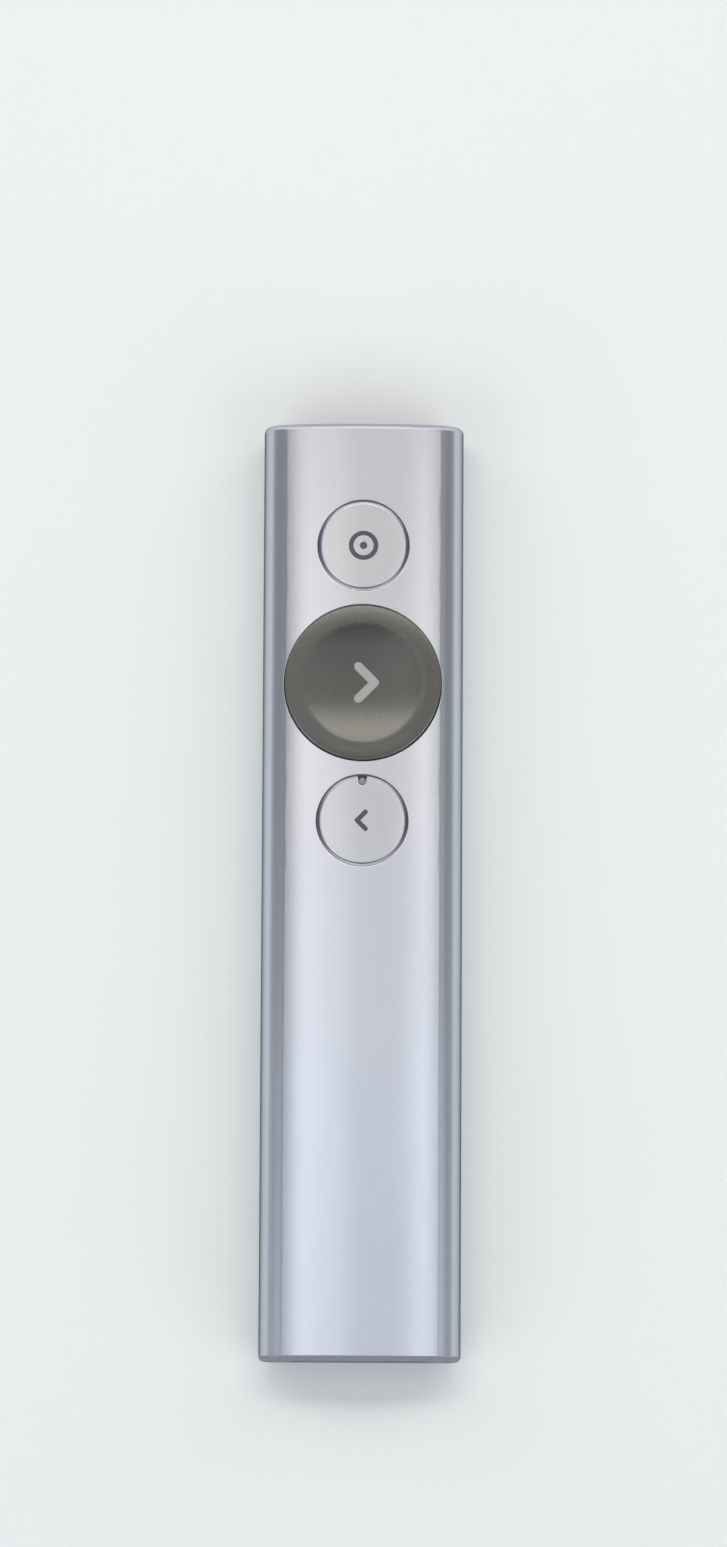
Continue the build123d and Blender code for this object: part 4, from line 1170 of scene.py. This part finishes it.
def finish(name, color, other, rough, grain, depth=4e-6, drift=60.0, worn=None, worn_rough=0.5,
           painted_shade=(0.3, 0.3, 0.3), stretch=(1.0, 1.0, 1.0), drift_stretch=(1.0, 1.0, 1.0), **values):
    """A material: drifting colour, worn edges with painted light and shade where asked, and roughness
    and bump from one grain.
    """
    finishes[name] = bpy.data.materials.new(name)
    finishes[name].use_nodes = True
    tree = finishes[name].node_tree
    tree.nodes.clear()
    tone = node(tree, "ShaderNodeGroup", node_tree=tone_drift, Color=(*color, 1.0),
                Other=(*other, 1.0), Scale=drift, Stretch=drift_stretch)
    skin = node(tree, "ShaderNodeGroup", node_tree=surface_grain, Scale=grain, Stretch=stretch,
                Depth=depth, Smooth=rough[0], Rough=rough[1])
    top, roughness = tone.outputs["Color"], skin.outputs["Roughness"]
    if worn:
        rub = node(tree, "ShaderNodeGroup", node_tree=edge_wear_and_painted_light, Color=top, Roughness=roughness,
                   Worn=(*worn, 1.0), Dark=(*painted_shade, 1.0), Worn_Roughness=worn_rough)
        top, roughness = rub.outputs["Color"], rub.outputs["Roughness"]
    shader = node(tree, "ShaderNodeBsdfPrincipled", Base_Color=top, Roughness=roughness,
                  Normal=skin.outputs["Normal"], **values)
    node(tree, "ShaderNodeOutputMaterial", Surface=shader.outputs["BSDF"])


# %% Finishes of the tube, the small caps and the big cap
# The tube's dark colour paints shade on its tail rim. The small caps' dark colour paints shade at the
# sides of their gaps, and their worn colour also paints a highlight at the gaps' far ends.
finish(
    "anodised_aluminium", (0.615, 0.64, 0.70), (0.59, 0.615, 0.68), (0.19, 0.24), 11000.0, 2e-6, 90.0,
    drift_stretch=(1.0, 0.25, 1.0), worn=(0.68, 0.67, 0.71), worn_rough=0.85, painted_shade=(0.43, 0.42, 0.49),
    Metallic=1.0, Specular_Tint=(0.16, 0.17, 0.21, 1.0),
)
finish(
    "cap_silver", (0.57, 0.593, 0.631), (0.546, 0.57, 0.612), (0.20, 0.26), 13000.0, 2e-6,
    worn=(0.68, 0.67, 0.71), worn_rough=0.85, painted_shade=(0.40, 0.365, 0.48),
    Metallic=1.0, Specular_Tint=(0.42, 0.43, 0.47, 1.0),
)
# The soft-touch worn grey is wear on the crest and the outer edge, and painted light on the ring's tail
# side.
finish(
    "soft_touch", (0.028, 0.028, 0.023), (0.024, 0.024, 0.020), (0.24, 0.28), 8000.0, 5e-6, 150.0,
    worn=(0.19, 0.19, 0.165), IOR=1.56, Specular_IOR_Level=1.0, Specular_Tint=(1.0, 1.0, 0.945, 1.0),
)

# %% [markdown]
# ## Paint, plastic and ceramic
#
# The rest differs in few values, so each finish is a row: its colour, the colour it drifts to, the
# lowest and highest roughness, the grain's scale, and where they aren't the usual ones the grain's
# depth and the drift's scale. The marks are flat paint, both ends are moulded with a fine texture,
# and what lies inside is moulded, extruded, fired or cut from foam. The table top is matte paint.

# %% Plain finishes by slot
for row in (
    ("mark_light", (0.43, 0.43, 0.42), (0.39, 0.39, 0.385), (0.5, 0.6), 7000.0),
    ("mark_dark", (0.085, 0.075, 0.105), (0.07, 0.065, 0.09), (0.45, 0.55), 7000.0),
    ("end_plastic", (0.085, 0.085, 0.10), (0.07, 0.07, 0.085), (0.40, 0.52), 7500.0, 1e-5, 200.0),
    ("receiver_plastic", (0.068, 0.068, 0.08), (0.055, 0.055, 0.066), (0.38, 0.5), 7500.0, 1e-5, 200.0),
    ("chassis_plastic", (0.060, 0.054, 0.072), (0.050, 0.045, 0.062), (0.5, 0.6), 4000.0, 8e-6),
    # The plungers' plastic is the chassis plastic made several times lighter, so the shaded floor of
    # the button gaps reads lighter: painted light.
    ("plunger_plastic", (0.34, 0.31, 0.40), (0.31, 0.28, 0.37), (0.5, 0.6), 7000.0, 6e-6),
    ("insert_black", (0.03, 0.03, 0.034), (0.024, 0.024, 0.028), (0.4, 0.55), 4000.0),
    ("connector_ivory", (0.70, 0.68, 0.60), (0.65, 0.63, 0.55), (0.4, 0.5), 4000.0),
    ("chip_black", (0.022, 0.022, 0.025), (0.03, 0.03, 0.033), (0.5, 0.65), 5000.0, 8e-6),
    ("ceramic", (0.50, 0.38, 0.27), (0.44, 0.33, 0.24), (0.35, 0.5), 5000.0),
    ("antenna_ceramic", (0.74, 0.76, 0.78), (0.70, 0.72, 0.74), (0.35, 0.5), 5000.0),
    ("lead_red", (0.42, 0.025, 0.025), (0.36, 0.02, 0.02), (0.35, 0.45), 5000.0),
    ("lead_black", (0.02, 0.02, 0.02), (0.03, 0.03, 0.03), (0.35, 0.45), 5000.0),
    ("lead_blue", (0.03, 0.09, 0.40), (0.025, 0.07, 0.34), (0.35, 0.45), 5000.0),
    ("foam", (0.10, 0.10, 0.10), (0.07, 0.07, 0.07), (0.85, 0.95), 6000.0, 3e-5),
    ("table_paint", (0.90, 0.93, 0.915), (0.89, 0.92, 0.905), (0.6, 0.7), 900.0, 1e-5, 5.0),
):
    finish(*row)

# %% [markdown]
# ## Metals, resins and the board
#
# Plated and stamped metal mirrors more than it scatters, and sheet that was rolled or drawn has a
# grain that runs along the bar, so its noise is stretched there. The cell's foil is creased, so its
# grain is coarse and deep. The light guide and the status lamp's resin let some light through, and
# the board's lacquer is a thin clear coat.

# %% Metals and clear finishes by slot
for row in (
    ("screw_steel", (0.50, 0.50, 0.51), (0.44, 0.44, 0.46), (0.28, 0.4), 6000.0),
    ("crystal_can", (0.66, 0.64, 0.57), (0.6, 0.58, 0.52), (0.2, 0.35), 9000.0),
    ("gold_plate", (0.78, 0.58, 0.26), (0.72, 0.52, 0.22), (0.16, 0.3), 9000.0),
    ("magnet", (0.5, 0.5, 0.5), (0.44, 0.44, 0.45), (0.2, 0.35), 7000.0),
    ("rotor_weight", (0.36, 0.355, 0.35), (0.3, 0.3, 0.295), (0.4, 0.6), 4000.0, 8e-6),
):
    finish(*row, Metallic=1.0)
finish(
    "spring_steel", (0.66, 0.65, 0.62), (0.60, 0.59, 0.57), (0.15, 0.28), 9000.0,
    stretch=(1.0, 0.08, 1.0), Metallic=1.0,
)
finish(
    "stamped_steel", (0.66, 0.66, 0.665), (0.60, 0.60, 0.61), (0.18, 0.34), 12000.0, 1.5e-6,
    stretch=(1.0, 0.05, 1.0), Metallic=1.0,
)
finish(
    "cell_foil", (0.58, 0.59, 0.61), (0.52, 0.53, 0.55), (0.25, 0.45), 1200.0, 3e-5, Metallic=0.8,
)
finish(
    "clear_plastic", (0.42, 0.42, 0.45), (0.38, 0.38, 0.41), (0.3, 0.4), 5000.0, 1e-6,
    Transmission_Weight=0.3, IOR=1.49,
)
finish(
    "led_resin", (0.85, 0.84, 0.70), (0.80, 0.78, 0.66), (0.1, 0.2), 4000.0, Transmission_Weight=0.4,
)
finish(
    "board_green", (0.02, 0.11, 0.06), (0.03, 0.15, 0.08), (0.25, 0.4), 2500.0, drift=900.0,
    Coat_Weight=0.4, Coat_Roughness=0.15,
)
print(len(finishes), "finishes from", len(bpy.data.node_groups), "node groups")

# %% [markdown]
# ## Dressing
#
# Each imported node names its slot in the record, and each new piece was given one above. The
# finish goes into the piece's first material slot.

# %% Give every piece its finish
slots = {row["node"]: row["material_slot"] for row in frame["record"]["subparts"]}
for name, packed in frame["nodes"].items():
    for place in packed.material_slots:
        place.material = finishes[slots[name]]
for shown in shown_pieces():
    if "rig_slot" in shown:
        shown.data.materials.append(finishes[shown["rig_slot"]])
table_top.data.materials.append(finishes["table_paint"])
